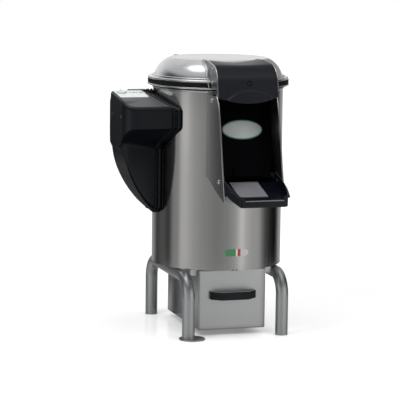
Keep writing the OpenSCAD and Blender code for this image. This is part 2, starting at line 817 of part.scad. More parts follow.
// Places its children in the plane of a side flange, with the flange's inner face at x = 0
module on_flange(side) {
    mirror([side < 0 ? 1 : 0, 0, 0]) translate([visor_half + 0.2, -303, 0]) rotate([0, 0, splay])
        translate([0, 303, 0]) children();
}
module visor_side_wall() {
    return_w = 26;
    along_x(-visor_t - 0.2, -0.2) polygon(concat(
        arc(nose_c, nose_r - 1, nose_a0, nose_a1, 12),
        reversed(arc(nose_c, nose_r - return_w, nose_a0, nose_a1, 12))
    ));
}
module visor_plan(d) {
    rear = visor_half - (303 - 122) * tan(splay);
    polygon([
        [-visor_half - d, -340], [visor_half + d, -340], [visor_half + d, -303], [rear + d, -122],
        [-rear - d, -122], [-visor_half - d, -303]
    ]);
}
module visor() {
    color(black_plastic) on_axis() difference() {
        union() {
            intersection() {
                difference() {
                    along_x(-visor_half, visor_half) visor_profile(0);
                    along_y(dish_end, -100) polygon(concat(dish(0), [[100, 920], [-100, 920]]));
                    difference() {
                        along_x(-visor_half - 1, visor_half + 1) visor_profile(-visor_t);
                        along_y(dish_end, -100)
                            polygon(concat(dish(-visor_t), [[100, 920], [-100, 920]]));
                    }
                    box_between([-120, -300, 740], [120, -100, 800]);
                }
                translate([0, 0, 700]) linear_extrude(200) visor_plan(0);
                rod_y(0, visor_lip_z + visor_lip_r, visor_lip_r, -340, -100);
            }
            for (side = [-1, 1]) on_flange(side) visor_side_wall();
            intersection() {
                along_x(-visor_half, visor_half)
                    polygon([[-303, 799], [-312, 799], [-316.5, 750], [-310, 750], [-304, 785]]);
                rod_y(0, grip_top_z - grip_r, grip_r, -330, -290);
                rod_y(0, visor_lip_z + visor_lip_r, visor_lip_r, -340, -100);
            }
        }
        rod_z(0, 0, dome_flat_r + 0.8, 800, 900);
        dome_solid(0.3);
        for (side = [-1, 1]) on_flange(side) rod_x(flange_screw[0], flange_screw[1], 2.1, -9, 9);
        rod_y(plug_x, plug_z, plug_r + 0.1, -320, -290);
    }
}
module visor_flange(side) {
    foot = 9;
    hem = 1.2;
    color(polished) on_axis() difference() {
        union() {
            on_flange(side) {
                along_x(0, sheet)
                    polygon(concat(visor_path(hem, flange_low), [[-150, flange_low[1]], [-118, 850]]));
                along_x(sheet, 2 * sheet)
                    polygon(concat(visor_path(hem, flange_low), reversed(visor_path(-2.5, flange_low))));
            }
            intersection() {
                dome_solid(1.8);
                on_flange(side) box_between([0, -196, dome_foot_z + 2], [foot, -128, 880]);
            }
        }
        dome_solid(0);
        rod_z(0, 0, rim_r + 0.5, 700, dome_foot_z + 2);
        on_flange(side) rod_x(flange_screw[0], flange_screw[1], 2.1, -9, 9);
    }
}
module visor_left_flange() visor_flange(-1);
module visor_right_flange() visor_flange(1);
module visor_fixings() {
    color(polished) on_axis() {
        for (side = [-1, 1]) on_flange(side) {
            rod_x(flange_screw[0], flange_screw[1], 2, -8, sheet);
            rod_x(flange_screw[0], flange_screw[1], 5, sheet, sheet + 2);
            rod_x(flange_screw[0], flange_screw[1], 3.5, sheet + 2, sheet + 3);
        }
        rod_y(plug_x, plug_z, plug_r, -306, -296);
    }
}
module hinge_bracket() {
    top = 862;
    color(steel) on_axis() difference() {
        union() {
            intersection() {
                ring(barrel_r + 3, barrel_r, 690, 770);
                box_between([-95, 0, 680], [95, 300, 780]);
            }
            for (x = [-hinge_arm_x - hinge_arm_w, hinge_arm_x]) {
                along_x(x, x + hinge_arm_w) polygon([
                    [180, 700], [hinge_y - 6, 700], [hinge_y + 8, 730], [hinge_y + 8, hinge_z],
                    [hinge_y - 9, hinge_z], [hinge_y - 9, 786], [hinge_y - 22, 768], [180, 768]
                ]);
                rod_x(hinge_y, hinge_z, ear_r, x, x + hinge_arm_w);
            }
        }
        rod_z(0, 0, barrel_r, 600, top);
        rod_x(hinge_y, hinge_z, hinge_pin_r + 0.02, -100, 100);
    }
}
module hinge_pin() {
    ear_out = hinge_arm_x + hinge_arm_w;
    color(polished) on_axis() {
        rod_x(hinge_y, hinge_z, hinge_pin_r, -ear_out, ear_out);
        for (x = [-ear_out - 3, ear_out]) rod_x(hinge_y, hinge_z, 8, x, x + 3);
    }
}
module lid_hinge_arms() {
    gap = 0.5;
    pad = 12;
    color(steel) on_axis() for (x = [-hinge_arm_x + gap, hinge_arm_x - gap - lid_arm_w]) difference() {
        union() {
            along_x(x, x + lid_arm_w) polygon([
                [hinge_y, hinge_z + lid_arm_r], [150, hinge_z + lid_arm_r], [150, 832],
                [196, 832], [hinge_y, hinge_z - lid_arm_r]
            ]);
            rod_x(hinge_y, hinge_z, lid_arm_r, x, x + lid_arm_w);
            intersection() {
                dome_solid(2.5);
                box_between([x - pad, 100, 830], [x + lid_arm_w + pad, 220, 864]);
            }
        }
        dome_solid(0);
        rod_x(hinge_y, hinge_z, hinge_pin_r + 0.06, x - 1, x + lid_arm_w + 1);
    }
}

// ---- Door ----
module door_front_view() {
    polygon([
        [-door_half, 800], [-door_half, 580], [-door_low_half, 545], [-door_low_half, 500],
        [door_low_half, 500], [door_low_half, 545], [door_half, 580], [door_half, 800]
    ]);
}
module door_side(e) {
    polygon([
        [-door_top_y - e, door_top_z + e], [-door_low_y - e, door_low_z - e / 2],
        [-door_low_y + 10, door_low_z - e / 2], [-200, 530 - e], [-180, 530 - e],
        [-180, door_top_z + e]
    ]);
}
module on_door(z) {
    y = -door_top_y - (door_top_z - z) * tan(door_slope);
    translate([0, y, z]) rotate([90 - door_slope, 0, 0]) children();
}
module door_shell() {
    grip_w = 47;
    color(black_plastic) on_axis() difference() {
        union() {
            intersection() {
                along_x(-door_half, door_half) door_side(0);
                along_y(-400, -150) door_front_view();
            }
            for (x = [-door_half, ear_in]) along_x(x, x + door_half - ear_in) {
                translate([-door_pivot_y, door_pivot_z]) circle(r = door_ear_r);
                polygon([
                    [-door_pivot_y, door_pivot_z + door_ear_r], [-door_pivot_y - door_ear_r, door_pivot_z],
                    [-246, 690], [-230, 690], [-door_top_y, door_top_z]
                ]);
            }
            on_door(523) intersection() {
                translate([0, 0, -2]) cylinder(r = grip_w, h = 14);
                translate([-60, 0, -2]) cube([120, 60, 14]);
            }
        }
        intersection() {
            along_x(-door_half + door_wall, door_half - door_wall) door_side(-door_wall);
            along_y(-400, -150) offset(delta = -door_wall) door_front_view();
        }
        on_door(523) translate([0, 0, 5]) intersection() {
            cylinder(r = grip_w - 7, h = 4);
            translate([-60, -1, 0]) cube([120, 60, 4]);
        }
        rod_z(0, 0, door_seat_r, 400, 900);
        rod_x(-door_pivot_y, door_pivot_z, screw_r + 0.06, -150, 150);
    }
}
module door_back_plate() {
    color(steel) on_axis() intersection() {
        ring(door_seat_r, inner_r - 2, port_bottom + 6, port_top - 4);
        box_between([-port_half + 5, -300, 500], [port_half - 5, 0, 800]);
    }
}
module door_badge() {
    color(pale_grey) on_axis() on_door(667) linear_extrude(3) polygon(ellipse_points(badge_w, 64, 48));
}

// ---- Drawer ----
module drawer_front() {
    depth = 13;
    color(steel) on_axis() difference() {
        box_between([-box_half - sheet, -box_front - depth, box_z - 1],
            [box_half + sheet, -box_front - 0.3, drawer_top]);
        box_between([-box_half, -box_front - depth + sheet, box_z],
            [box_half, -box_front, drawer_top - sheet]);
    }
}
module filter_basket() {
    half = box_half - 2.5;
    y0 = -box_front - 13 + sheet;
    y1 = box_back - 14;
    z0 = box_z + 2;
    color(polished) on_axis() difference() {
        box_between([-half, y0, z0], [half, y1, 150]);
        box_between([-half + sheet, y0 + sheet, z0 + sheet], [half - sheet, y1 - sheet, 151]);
        for (x = [-80:32:80], y = [-140:40:140]) rod_z(x, y, 5, z0 - 1, z0 + 3);
    }
}
module drawer_handle() {
    bar = 12;
    slant = 30;
    y0 = -box_front - 13;
    color(black_plastic) on_axis() translate([0, 0, handle_z - 13]) linear_extrude(26) difference() {
        polygon([
            [-handle_half, y0], [-handle_half, y0 - 10], [-handle_half + slant, y0 - handle_out],
            [handle_half - slant, y0 - handle_out], [handle_half, y0 - 10], [handle_half, y0]
        ]);
        polygon([
            [-handle_half + bar, y0 + 1], [-handle_half + bar, y0 - 7],
            [-handle_half + slant + 2, y0 - handle_out + bar],
            [handle_half - slant - 2, y0 - handle_out + bar],
            [handle_half - bar, y0 - 7], [handle_half - bar, y0 + 1]
        ]);
    }
}
module front_sticker() {
    pill_r = 11.5;
    half = 39;
    color("white") on_axis() intersection() {
        ring(barrel_r + 0.6, barrel_r, sticker_z - 20, sticker_z + 20);
        along_y(-barrel_r - 20, 0) translate([sticker_x, sticker_z]) union() {
            for (s = [-1, 1]) translate([s * (half - pill_r), 0]) circle(r = pill_r);
            square([2 * (half - pill_r), 2 * pill_r], center = true);
        }
    }
}

barrel();
barrel_rim();
drum_liner();
chamber_floor();
base_plate();
left_leg_frame();
right_leg_frame();
leg_plugs();
floor_flange();
leg_bolts();
left_cheek();
right_cheek();
chute_floor();
chute_tray();
tray_slide_plate();
cheek_screws();
bearing_housing();
shaft_bearings();
shaft_seal();
motor_body();
motor_mount();
drive_belt();
peel_duct();
filter_box();
box_brackets();
drain_pipe();
water_inlet();
control_housing();
housing_gasket();
control_label();
control_board();
contactor();
electrics_plate();
cable_gland();
housing_screws();
hinge_bracket();
hinge_pin();
front_sticker();
lid_dome();
lid_rim_band();
lid_seal();
visor();
visor_left_flange();
visor_right_flange();
visor_fixings();
lid_hinge_arms();
door_shell();
door_back_plate();
door_badge();
drawer_front();
filter_basket();
drawer_handle();
abrasive_plate();
main_shaft();
driven_pulley();
motor_shaft();
motor_pulley();
timer_knob();
start_button();
stop_button();
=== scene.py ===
"""Looks for the electric potato peeler: meshes, finishes, floor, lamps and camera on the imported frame.

Shapes are in millimetres about the barrel's axis, with the front towards -Y, and place() moves them
into the row frame. Moulded pieces are fields of distances, meshed by surface_net().
"""

from math import acos, atan, atan2, ceil, copysign, cos, degrees, pi, radians, sin, sqrt, tan

import bpy
import numpy as np
from mathutils import Matrix, Vector


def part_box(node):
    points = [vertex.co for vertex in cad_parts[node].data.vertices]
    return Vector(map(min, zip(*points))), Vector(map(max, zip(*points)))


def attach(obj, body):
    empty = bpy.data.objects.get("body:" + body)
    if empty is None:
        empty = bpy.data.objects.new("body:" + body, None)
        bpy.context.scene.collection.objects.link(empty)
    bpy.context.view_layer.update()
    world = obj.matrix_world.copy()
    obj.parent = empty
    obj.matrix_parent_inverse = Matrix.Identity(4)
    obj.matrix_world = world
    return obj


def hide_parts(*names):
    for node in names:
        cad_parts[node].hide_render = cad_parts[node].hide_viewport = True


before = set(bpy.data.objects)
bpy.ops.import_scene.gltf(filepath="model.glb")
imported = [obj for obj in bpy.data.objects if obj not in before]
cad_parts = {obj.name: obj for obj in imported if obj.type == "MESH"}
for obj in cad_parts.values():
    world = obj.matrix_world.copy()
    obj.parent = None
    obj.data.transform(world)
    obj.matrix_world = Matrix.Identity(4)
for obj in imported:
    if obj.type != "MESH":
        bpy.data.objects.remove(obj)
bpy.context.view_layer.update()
scene = bpy.context.scene

MM = 0.001
SIDES = ((-1, "left"), (1, "right"))
barrel_low, barrel_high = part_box("barrel")
AXIS = np.array([barrel_low.x + barrel_high.x, barrel_low.y + barrel_high.y, 0]) / 2 / MM
BARREL_R = (barrel_high.x - barrel_low.x) / 2 / MM
BASE_Z = barrel_low.z / MM


# ---------------------------------------------------------------- meshes
def place(points):
    """Points in millimetres about the barrel's axis, as metres in the row frame."""
    return (np.asarray(points, float).reshape(-1, 3) + AXIS) * MM


def new_object(name, data):
    """A new object in the scene."""
    piece = bpy.data.objects.new(name, data)
    scene.collection.objects.link(piece)
    return piece


def make(name, points, faces, body, material, slot, stands_for=(), crease=35):
    """A mesh piece that rides on a body. Faces meeting at more than crease degrees stay sharp."""
    mesh = bpy.data.meshes.new(name)
    mesh.from_pydata(place(points).tolist(), [], faces)
    mesh.validate()
    mesh.shade_smooth()
    mesh.set_sharp_from_angle(angle=radians(crease))
    mesh.materials.append(material)
    piece = new_object(name, mesh)
    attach(piece, body)
    if stands_for:
        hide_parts(*stands_for)
    return piece


def add_bevel(piece, width):
    """Rounds the sharp edges of a piece."""
    bevel = piece.modifiers.new("Bevel", "BEVEL")
    bevel.width = width * MM
    bevel.segments = 3
    bevel.limit_method = "ANGLE"
    bevel.angle_limit = radians(35)


def arc(center, r, a0, a1, n):
    """Points of an arc from angle a0 to a1, in degrees."""
    a = np.radians(np.linspace(a0, a1, n + 1))
    return [(center[0] + r * cos(t), center[1] + r * sin(t)) for t in a]


def around(n):
    """Angles of n even steps round a circle."""
    return np.linspace(0, 2 * pi, n, endpoint=False)


def circle(r, z, n):
    return [(r * cos(t), r * sin(t), z) for t in around(n)]


def rings(rows, close_rows=False):
    """Quads between neighbouring closed rings of equal length."""
    n = len(rows[0])
    points = [p for row in rows for p in row]
    faces = []
    for i in range(len(rows) - (0 if close_rows else 1)):
        a, b = i * n, ((i + 1) % len(rows)) * n
        faces += [(a + j, a + (j + 1) % n, b + (j + 1) % n, b + j) for j in range(n)]
    return points, faces


def lathe(profile, n=160, closed=True):
    """Turns a closed outline of (r, z) about Z. Points on the axis are merged into one."""
    points, faces, start = [], [], []
    for r, z in profile:
        start.append(len(points))
        if r < 1e-6:
            points.append((0, 0, z))
        else:
            points += circle(r, z, n)
    count = len(profile)
    for i in range(count if closed else count - 1):
        k = (i + 1) % count
        a, b, flat_a, flat_b = start[i], start[k], profile[i][0] < 1e-6, profile[k][0] < 1e-6
        for j in range(n):
            j2 = (j + 1) % n
            if flat_a and flat_b:
                break
            if flat_a:
                faces.append((a, b + j2, b + j))
            elif flat_b:
                faces.append((a + j, a + j2, b))
            else:
                faces.append((a + j, a + j2, b + j2, b + j))
    return np.array(points), faces


def sweep(path, r, sides=12, closed=False, squash=1.0):
    """A round bar of radius r along a path, with flat ends."""
    path = np.asarray(path, float)
    ahead = np.roll(path, -1, 0) - path
    if not closed:
        ahead[-1] = ahead[-2]
    ahead /= np.linalg.norm(ahead, axis=1)[:, None]
    tangent = ahead + np.roll(ahead, 1, 0)
    if not closed:
        tangent[0] = ahead[0]
    tangent /= np.linalg.norm(tangent, axis=1)[:, None]
    side = np.cross(tangent[0], [0, 0, 1.0])
    if np.linalg.norm(side) < 0.1:
        side = np.cross(tangent[0], [1.0, 0, 0])
    rows = []
    for p, t in zip(path, tangent):
        side = side - t * (side @ t)
        side /= np.linalg.norm(side)
        up = np.cross(side, t)
        rows.append([p + r * (cos(a) * side + squash * sin(a) * up)
                     for a in around(sides)])
    points, faces = rings(rows, closed)
    if not closed:
        last = (len(rows) - 1) * sides
        faces += [tuple(range(sides))[::-1], tuple(range(last, last + sides))]
    return np.array(points), faces


def merged(*parts):
    """Several (points, faces) as one."""
    points, faces = [], []
    for p, f in parts:
        faces += [tuple(i + len(points) for i in face) for face in f]
        points += [tuple(q) for q in p]
    return np.array(points), faces


def turned(points, matrix):
    """Points under a 4x4 matrix."""
    m = np.array(matrix)
    return np.asarray(points) @ m[:3, :3].T + m[:3, 3]


def in_x(points, at):
    """Stands a shape drawn about Z on the +X direction, or on -X where at[0] is negative."""
    turn = copysign(pi / 2, at[0])
    return turned(points, Matrix.Translation(at) @ Matrix.Rotation(turn, 4, "Y"))


# ---------------------------------------------------------------- fields of distances
class Field:
    """A grid of points on which distances are worked out, negative inside."""

    def __init__(self, low, high, step):
        self.low, self.step = np.array(low, float), step
        counts = [int(ceil((b - a) / step)) + 1 for a, b in zip(low, high)]
        line = [(a + step * np.arange(n)).astype(np.float32) for a, n in zip(low, counts)]
        self.x, self.y, self.z = line[0][:, None, None], line[1][None, :, None], line[2][None, None, :]

    def across_x(self, outline):
        return distance(outline, self.y, self.z)

    def across_y(self, outline):
        return distance(outline, self.x, self.z)

    def across_z(self, outline):
        return distance(outline, self.x, self.y)

    def radius(self, x=0.0, y=0.0):
        return np.sqrt((self.x - x) ** 2 + (self.y - y) ** 2)

    def block(self, low, high):
        d = None
        for value, a, b in zip((self.x, self.y, self.z), low, high):
            side = np.abs(value - (a + b) / 2) - (b - a) / 2
            d = side if d is None else np.maximum(d, side)
        return d


def distance(outline, u, v):
    """Signed distance from points (u, v) to a closed outline."""
    near, inside = np.float32(1e12), False
    for (ax, ay), (bx, by) in zip(outline, list(outline[1:]) + [outline[0]]):
        ex, ey = bx - ax, by - ay
        t = np.clip(((u - ax) * ex + (v - ay) * ey) / (ex * ex + ey * ey), 0, 1)
        near = np.minimum(near, (u - ax - t * ex) ** 2 + (v - ay - t * ey) ** 2)
        if ey:
            inside = inside ^ (((ay > v) != (by > v)) & (u < ax + (v - ay) * (ex / ey)))
    return np.where(inside, -1, 1) * np.sqrt(near)


def both(a, b, r):
    """What is in a and in b, with edges rounded to radius r."""
    return np.minimum(np.maximum(a, b), -r) + np.hypot(np.maximum(a + r, 0), np.maximum(b + r, 0))


def either(a, b, r):
    """What is in a or in b, with a fillet of radius r."""
    return -both(-a, -b, r)


def surface_net(field, f):
    """The surface where f is 0: one point in each cell that it crosses, joined by quads."""
    f = np.ascontiguousarray(f, np.float32)
    cells = tuple(n - 1 for n in f.shape)
    total, count = np.zeros(cells + (3,), np.float32), np.zeros(cells, np.float32)
    inside = f < 0
    crossings = []
    for a in range(3):
        b, c = [(1, 2), (0, 2), (0, 1)][a]
        first = [slice(None)] * 3
        second = [slice(None)] * 3
        first[a], second[a] = slice(0, -1), slice(1, None)
        f0, f1 = f[tuple(first)], f[tuple(second)]
        cross = inside[tuple(first)] != inside[tuple(second)]
        crossings.append((a, b, c, cross, inside[tuple(first)]))
        part = np.where(cross, f0 / np.where(cross, f0 - f1, 1), 0)
        for db in (0, 1):
            for dc in (0, 1):
                cut = [slice(None)] * 3
                cut[b] = slice(db, db + cells[b])
                cut[c] = slice(dc, dc + cells[c])
                hit = cross[tuple(cut)]
                total[..., a] += np.where(hit, part[tuple(cut)], 0)
                total[..., b] += db * hit
                total[..., c] += dc * hit
                count += hit
    used = count > 0
    number = np.full(cells, -1, np.int64)
    number[used] = np.arange(used.sum())
    points = np.argwhere(used) + total[used] / count[used][:, None]
    points = field.low + points * field.step
    faces = []
    for a, b, c, cross, first_inside in crossings:
        where = np.argwhere(cross)
        where = where[(where[:, b] > 0) & (where[:, c] > 0)]
        where = where[(where[:, b] < f.shape[b] - 1) & (where[:, c] < f.shape[c] - 1)]
        out = first_inside[tuple(where.T)]
        quad = []
        for db, dc in ((-1, -1), (0, -1), (0, 0), (-1, 0)):
            at = where.copy()
            at[:, b] += db
            at[:, c] += dc
            quad.append(number[tuple(at.T)])
        quad = np.stack(quad, 1)
        flip = out == (a == 1)
        quad[flip] = quad[flip][:, ::-1]
        faces.append(quad)
    return points, np.concatenate(faces).tolist()


# ---------------------------------------------------------------- finishes
NOISE_LOW, NOISE_HIGH = 0.3, 0.7


def set_inputs(node, **values):
    """Sets inputs by name, with _ for each blank in a name."""
    for name, value in values.items():
        node.inputs[name.replace("_", " ")].default_value = value
    return node


def smooth_range(n, low, high, at_low, at_high):
    """A node that goes smoothly from at_low to at_high as its value goes from low to high."""
    ramp = n.new("ShaderNodeMapRange")
    ramp.interpolation_type = "SMOOTHSTEP"
    return set_inputs(ramp, From_Min=low, From_Max=high, To_Min=at_low, To_Max=at_high)


def color_mix(n, blend="MIX", factor=None):
    """A node that mixes two colours, at inputs 6 and 7, into output 2."""
    node = n.new("ShaderNodeMix")
    node.data_type = "RGBA"
    node.blend_type = blend
    if factor is not None:
        set_inputs(node, Factor=factor)
    return node


def fine_noise(n, link, place_at, grain):
    """Noise that is stretched by the grain."""
    stretch = set_inputs(n.new("ShaderNodeMapping"), Scale=grain)
    link(place_at.outputs["Object"], stretch.inputs["Vector"])
    noise = set_inputs(n.new("ShaderNodeTexNoise"), Scale=1.0)
    link(stretch.outputs["Vector"], noise.inputs["Vector"])
    return noise


def finish(name, base, roughness, metallic=0.0, grain=(60, 60, 60), tint=0.12, rough_range=0.08,
           bump=0.1, bump_grain=None, specular=0.5, marks_and_painted_light=None):
    """A finish of its own colour, with grain in its colour, its roughness and its relief."""
    m = bpy.data.materials.new(name)
    m.use_nodes = True
    n, link = m.node_tree.nodes, m.node_tree.links.new
    shader = set_inputs(n["Principled BSDF"], Metallic=metallic, Specular_IOR_Level=specular)
    place_at = n.new("ShaderNodeTexCoord")
    noise = set_inputs(fine_noise(n, link, place_at, grain), Detail=4.0)
    slow = set_inputs(n.new("ShaderNodeTexNoise"), Scale=7.0, Detail=2.0)
    link(place_at.outputs["Object"], slow.inputs["Vector"])
    ramp = n.new("ShaderNodeValToRGB")
    dark, pale = ramp.color_ramp.elements
    dark.position, pale.position = NOISE_LOW, NOISE_HIGH
    dark.color = [c * (1 - tint) for c in base] + [1]
    pale.color = [min(1, c * (1 + tint)) for c in base] + [1]
    both_noises = n.new("ShaderNodeMix")
    set_inputs(both_noises, Factor=0.4)
    link(noise.outputs["Fac"], both_noises.inputs["A"])
    link(slow.outputs["Fac"], both_noises.inputs["B"])
    link(both_noises.outputs["Result"], ramp.inputs["Fac"])
    color = ramp.outputs["Color"]
    # An optional function adds print, or painted light and shade, to the colour, and may set the gloss.
    if marks_and_painted_light:
        color = marks_and_painted_light(n, link, color, place_at)
    link(color, shader.inputs["Base Color"])
    spread = set_inputs(n.new("ShaderNodeMapRange"), From_Min=NOISE_LOW, From_Max=NOISE_HIGH,
                        To_Min=max(0.02, roughness - rough_range), To_Max=min(1.0, roughness + rough_range))
    link(noise.outputs["Fac"], spread.inputs["Value"])
    link(spread.outputs["Result"], shader.inputs["Roughness"])
    if bump:
        relief = fine_noise(n, link, place_at, bump_grain) if bump_grain else noise
        bumps = set_inputs(n.new("ShaderNodeBump"), Strength=bump, Distance=0.0005)
        link(relief.outputs["Fac"], bumps.inputs["Height"])
        link(bumps.outputs["Normal"], shader.inputs["Normal"])
    return m


BRUSHED_UP = (420, 420, 5)
barrel_steel = finish("barrel_steel", (0.44, 0.435, 0.43), 0.14, 1, BRUSHED_UP, 0.03, 0.03, 0.02)
sheet_steel = finish("sheet_steel", (0.36, 0.365, 0.37), 0.36, 1, BRUSHED_UP, 0.05, 0.05, 0.04)


def painted_edge_shade(n, link, color, place_at):
    """Painted shade: a darker tone near the drawer panel's right and lower edges."""
    low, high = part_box("drawer_front")
    split = n.new("ShaderNodeSeparateXYZ")
    link(place_at.outputs["Object"], split.inputs["Vector"])
    edges = (("X", high.x - 0.020, high.x - 0.001, 0.76), ("Z", low.z + 0.016, low.z, 0.80))
    for axis, start, end, tone in edges:
        near = smooth_range(n, start, end, 1.0, tone)
        link(split.outputs[axis], near.inputs["Value"])
        shade = color_mix(n, "MULTIPLY", 1)
        link(color, shade.inputs[6])
        link(near.outputs["Result"], shade.inputs[7])
        color = shade.outputs[2]
    return color


# The drawer panel gets painted shade along its right and lower edges.
drawer_steel = finish("drawer_steel", (0.59, 0.595, 0.595), 0.42, 1, (8, 8, 380), 0.02, 0.03, 0.015,
                      marks_and_painted_light=painted_edge_shade)
# The brackets' steel has a paler tone: painted light that lifts them out of the shade under the barrel.
bracket_steel = finish("bracket_steel", (0.62, 0.625, 0.625), 0.40, 1, (200, 200, 200), 0.04, 0.04, 0.03)
cheek_steel = finish("cheek_steel", (0.42, 0.425, 0.43), 0.34, 1, BRUSHED_UP, 0.08, 0.06, 0.05)
polished = finish("polished_steel", (0.66, 0.665, 0.68), 0.16, 1, (30, 30, 30), 0.04, 0.03, 0.02)
dome_steel = finish("dome_steel", (0.62, 0.625, 0.64), 0.22, 1, (40, 40, 120), 0.05, 0.04, 0.02)
tube_satin = finish("tube_satin", (0.47, 0.48, 0.485), 0.33, 0.97, (900, 900, 900), 0.03, 0.03, 0.01)
box_steel = finish("box_steel", (0.44, 0.445, 0.46), 0.16, 1, BRUSHED_UP, 0.04, 0.03, 0.02)


def by_height(n, link, place_at, low, high, at_low, at_high):
    """A value that goes from at_low to at_high as the normal's height goes from low to high."""
    split = n.new("ShaderNodeSeparateXYZ")
    link(place_at.outputs["Normal"], split.inputs["Vector"])
    ramp = smooth_range(n, low, high, at_low, at_high)
    link(split.outputs["Z"], ramp.inputs["Value"])
    return ramp.outputs["Result"]


def painted_top_light(n, link, color, place_at, tone):
    """Painted light: a paler tone on the faces that look upwards, standing for their lit tops."""
    cover = color_mix(n)
    link(by_height(n, link, place_at, 0.80, 0.96, 0, 1), cover.inputs["Factor"])
    link(color, cover.inputs[6])
    cover.inputs[7].default_value = (*tone, 1)
    return cover.outputs[2]


def set_gloss(n, link, value):
    link(value, n["Principled BSDF"].inputs["Specular IOR Level"])


def painted_tops_dull_undersides(n, link, color, place_at):
    """Painted light on the faces that look upwards, and less gloss on the faces that look down."""
    set_gloss(n, link, by_height(n, link, place_at, -0.45, -0.05, 0.02, 0.34))
    return painted_top_light(n, link, color, place_at, (0.075, 0.08, 0.085))


def painted_handle_top_light(n, link, color, place_at):
    """A paler painted light on the faces that look upwards, for a handle."""
    return painted_top_light(n, link, color, place_at, (0.16, 0.165, 0.17))


def dull_above(n, link, color, place_at):
    """Less gloss on the faces that look upwards."""
    set_gloss(n, link, by_height(n, link, place_at, 0.35, 0.85, 0.3, 0.05))
    return color


BLACK, FINE = (0.0022, 0.0034, 0.0056), (900, 900, 900)
black_moulding = finish("black_moulding", BLACK, 0.32, 0, FINE, 0.25, 0.05, 0.06, specular=0.34)
# The housing's upward faces get painted light and its downward faces less gloss.
housing_black = finish("housing_black", BLACK, 0.34, 0, FINE, 0.25, 0.05, 0.06, specular=0.34, marks_and_painted_light=painted_tops_dull_undersides)
visor_black = finish("visor_black", (0.0095, 0.0112, 0.0135), 0.32, 0, FINE, 0.2, 0.06, 0.12, specular=0.3,
                     marks_and_painted_light=dull_above)
# The handle's upward faces get a paler painted light.
handle_black = finish("handle_black", BLACK, 0.34, 0, FINE, 0.25, 0.05, 0.06, specular=0.3, marks_and_painted_light=painted_handle_top_light)
door_black = finish("door_black", (0.0012, 0.0012, 0.0018), 0.5, 0, FINE, 0.25, 0.06, 0.1, specular=0.04)
rubber = finish("rubber", (0.004, 0.004, 0.0045), 0.5, 0, (700, 700, 700), 0.3, 0.08, 0.2, specular=0.2)
pale_plastic = finish("pale_plastic", (0.62, 0.64, 0.64), 0.38, 0, (500, 500, 500), 0.05, 0.05, 0.06)
slide_plate = finish("slide_plate", (0.20, 0.20, 0.215), 0.34, 0.2, (300, 20, 300), 0.08, 0.06, 0.05)
grit = finish("grit", (0.16, 0.145, 0.13), 0.9, 0, FINE, 0.5, 0.05, 1.0, (1600, 1600, 1600))
casting = finish("casting", (0.16, 0.17, 0.19), 0.6, 0.3, (250, 250, 250), 0.15, 0.1, 0.4)
motor_paint = finish("motor_paint", (0.10, 0.14, 0.21), 0.5, 0.2, (250, 250, 250), 0.12, 0.08, 0.3)
board_green = finish("board_green", (0.02, 0.13, 0.05), 0.4, 0, (800, 800, 800), 0.2, 0.06, 0.1)
nickel = finish("nickel", (0.55, 0.52, 0.46), 0.28, 1, (60, 60, 60), 0.06, 0.05, 0.05)
green_cap = finish("green_cap", (0.56, 0.60, 0.57), 0.35, 0, (500, 500, 500), 0.08, 0.05, 0.05)
red_cap = finish("red_cap", (0.60, 0.57, 0.56), 0.35, 0, (500, 500, 500), 0.08, 0.05, 0.05)
badge_face = finish("badge_face", (0.44, 0.48, 0.46), 0.32, 0, (400, 400, 400), 0.06, 0.05, 0.05)
badge_edge = finish("badge_edge", (0.06, 0.17, 0.11), 0.35, 0, (400, 400, 400), 0.1, 0.05, 0.05)


def band_colors(n, link, color, place_at):
    """Plain colour fields across the sticker: green, white, red, white."""
    split = n.new("ShaderNodeSeparateXYZ")
    link(place_at.outputs["Object"], split.inputs["Vector"])
    low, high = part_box("front_sticker")
    across = set_inputs(n.new("ShaderNodeMapRange"), From_Min=low.x, From_Max=high.x)
    link(split.outputs["X"], across.inputs["Value"])
    ramp = n.new("ShaderNodeValToRGB")
    ramp.color_ramp.interpolation = "CONSTANT"
    fields = [(0.0, (0.06, 0.24, 0.10)), (0.46, (0.75, 0.75, 0.72)), (0.53, (0.42, 0.06, 0.05)),
              (0.66, (0.62, 0.60, 0.59))]
    ramp.color_ramp.elements[0].color = (*fields[0][1], 1)
    ramp.color_ramp.elements[1].position = fields[1][0]
    ramp.color_ramp.elements[1].color = (*fields[1][1], 1)
    for at, c in fields[2:]:
        ramp.color_ramp.elements.new(at).color = (*c, 1)
    link(across.outputs["Result"], ramp.inputs["Fac"])
    return ramp.outputs["Color"]


sticker_film = finish("sticker_film", (0.8, 0.8, 0.8), 0.3, 0, (300, 300, 300), 0.04, 0.04, 0.02,
                      marks_and_painted_light=band_colors)

FINISHES = {
    barrel_steel: ["barrel"],
    sheet_steel: ["base_plate", "chamber_floor", "peel_duct", "motor_mount", "hinge_bracket",
                  "lid_hinge_arms"],
    box_steel: ["filter_box", "drain_pipe"],
    bracket_steel: ["box_brackets"],
    cheek_steel: ["left_cheek", "right_cheek", "chute_floor", "visor_left_flange", "visor_right_flange"],
    polished: ["barrel_rim", "leg_bolts", "shaft_bearings", "electrics_plate", "hinge_pin",
               "main_shaft", "motor_shaft", "filter_basket", "cheek_screws", "housing_screws"],
    tube_satin: ["floor_flange"],
    rubber: ["leg_plugs", "shaft_seal", "drive_belt"],
    black_moulding: ["cable_gland", "door_back_plate"],
    pale_plastic: ["control_label", "contactor"],
    slide_plate: ["tray_slide_plate"],
    grit: ["drum_liner", "abrasive_plate"],
    casting: ["bearing_housing"],
    motor_paint: ["motor_body", "driven_pulley", "motor_pulley"],
    board_green: ["control_board"],
    nickel: ["water_inlet"],
    sticker_film: ["front_sticker"],
}
for material, names in FINISHES.items():
    for node in names:
        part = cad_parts[node]
        part.data.materials.clear()
        part.data.materials.append(material)

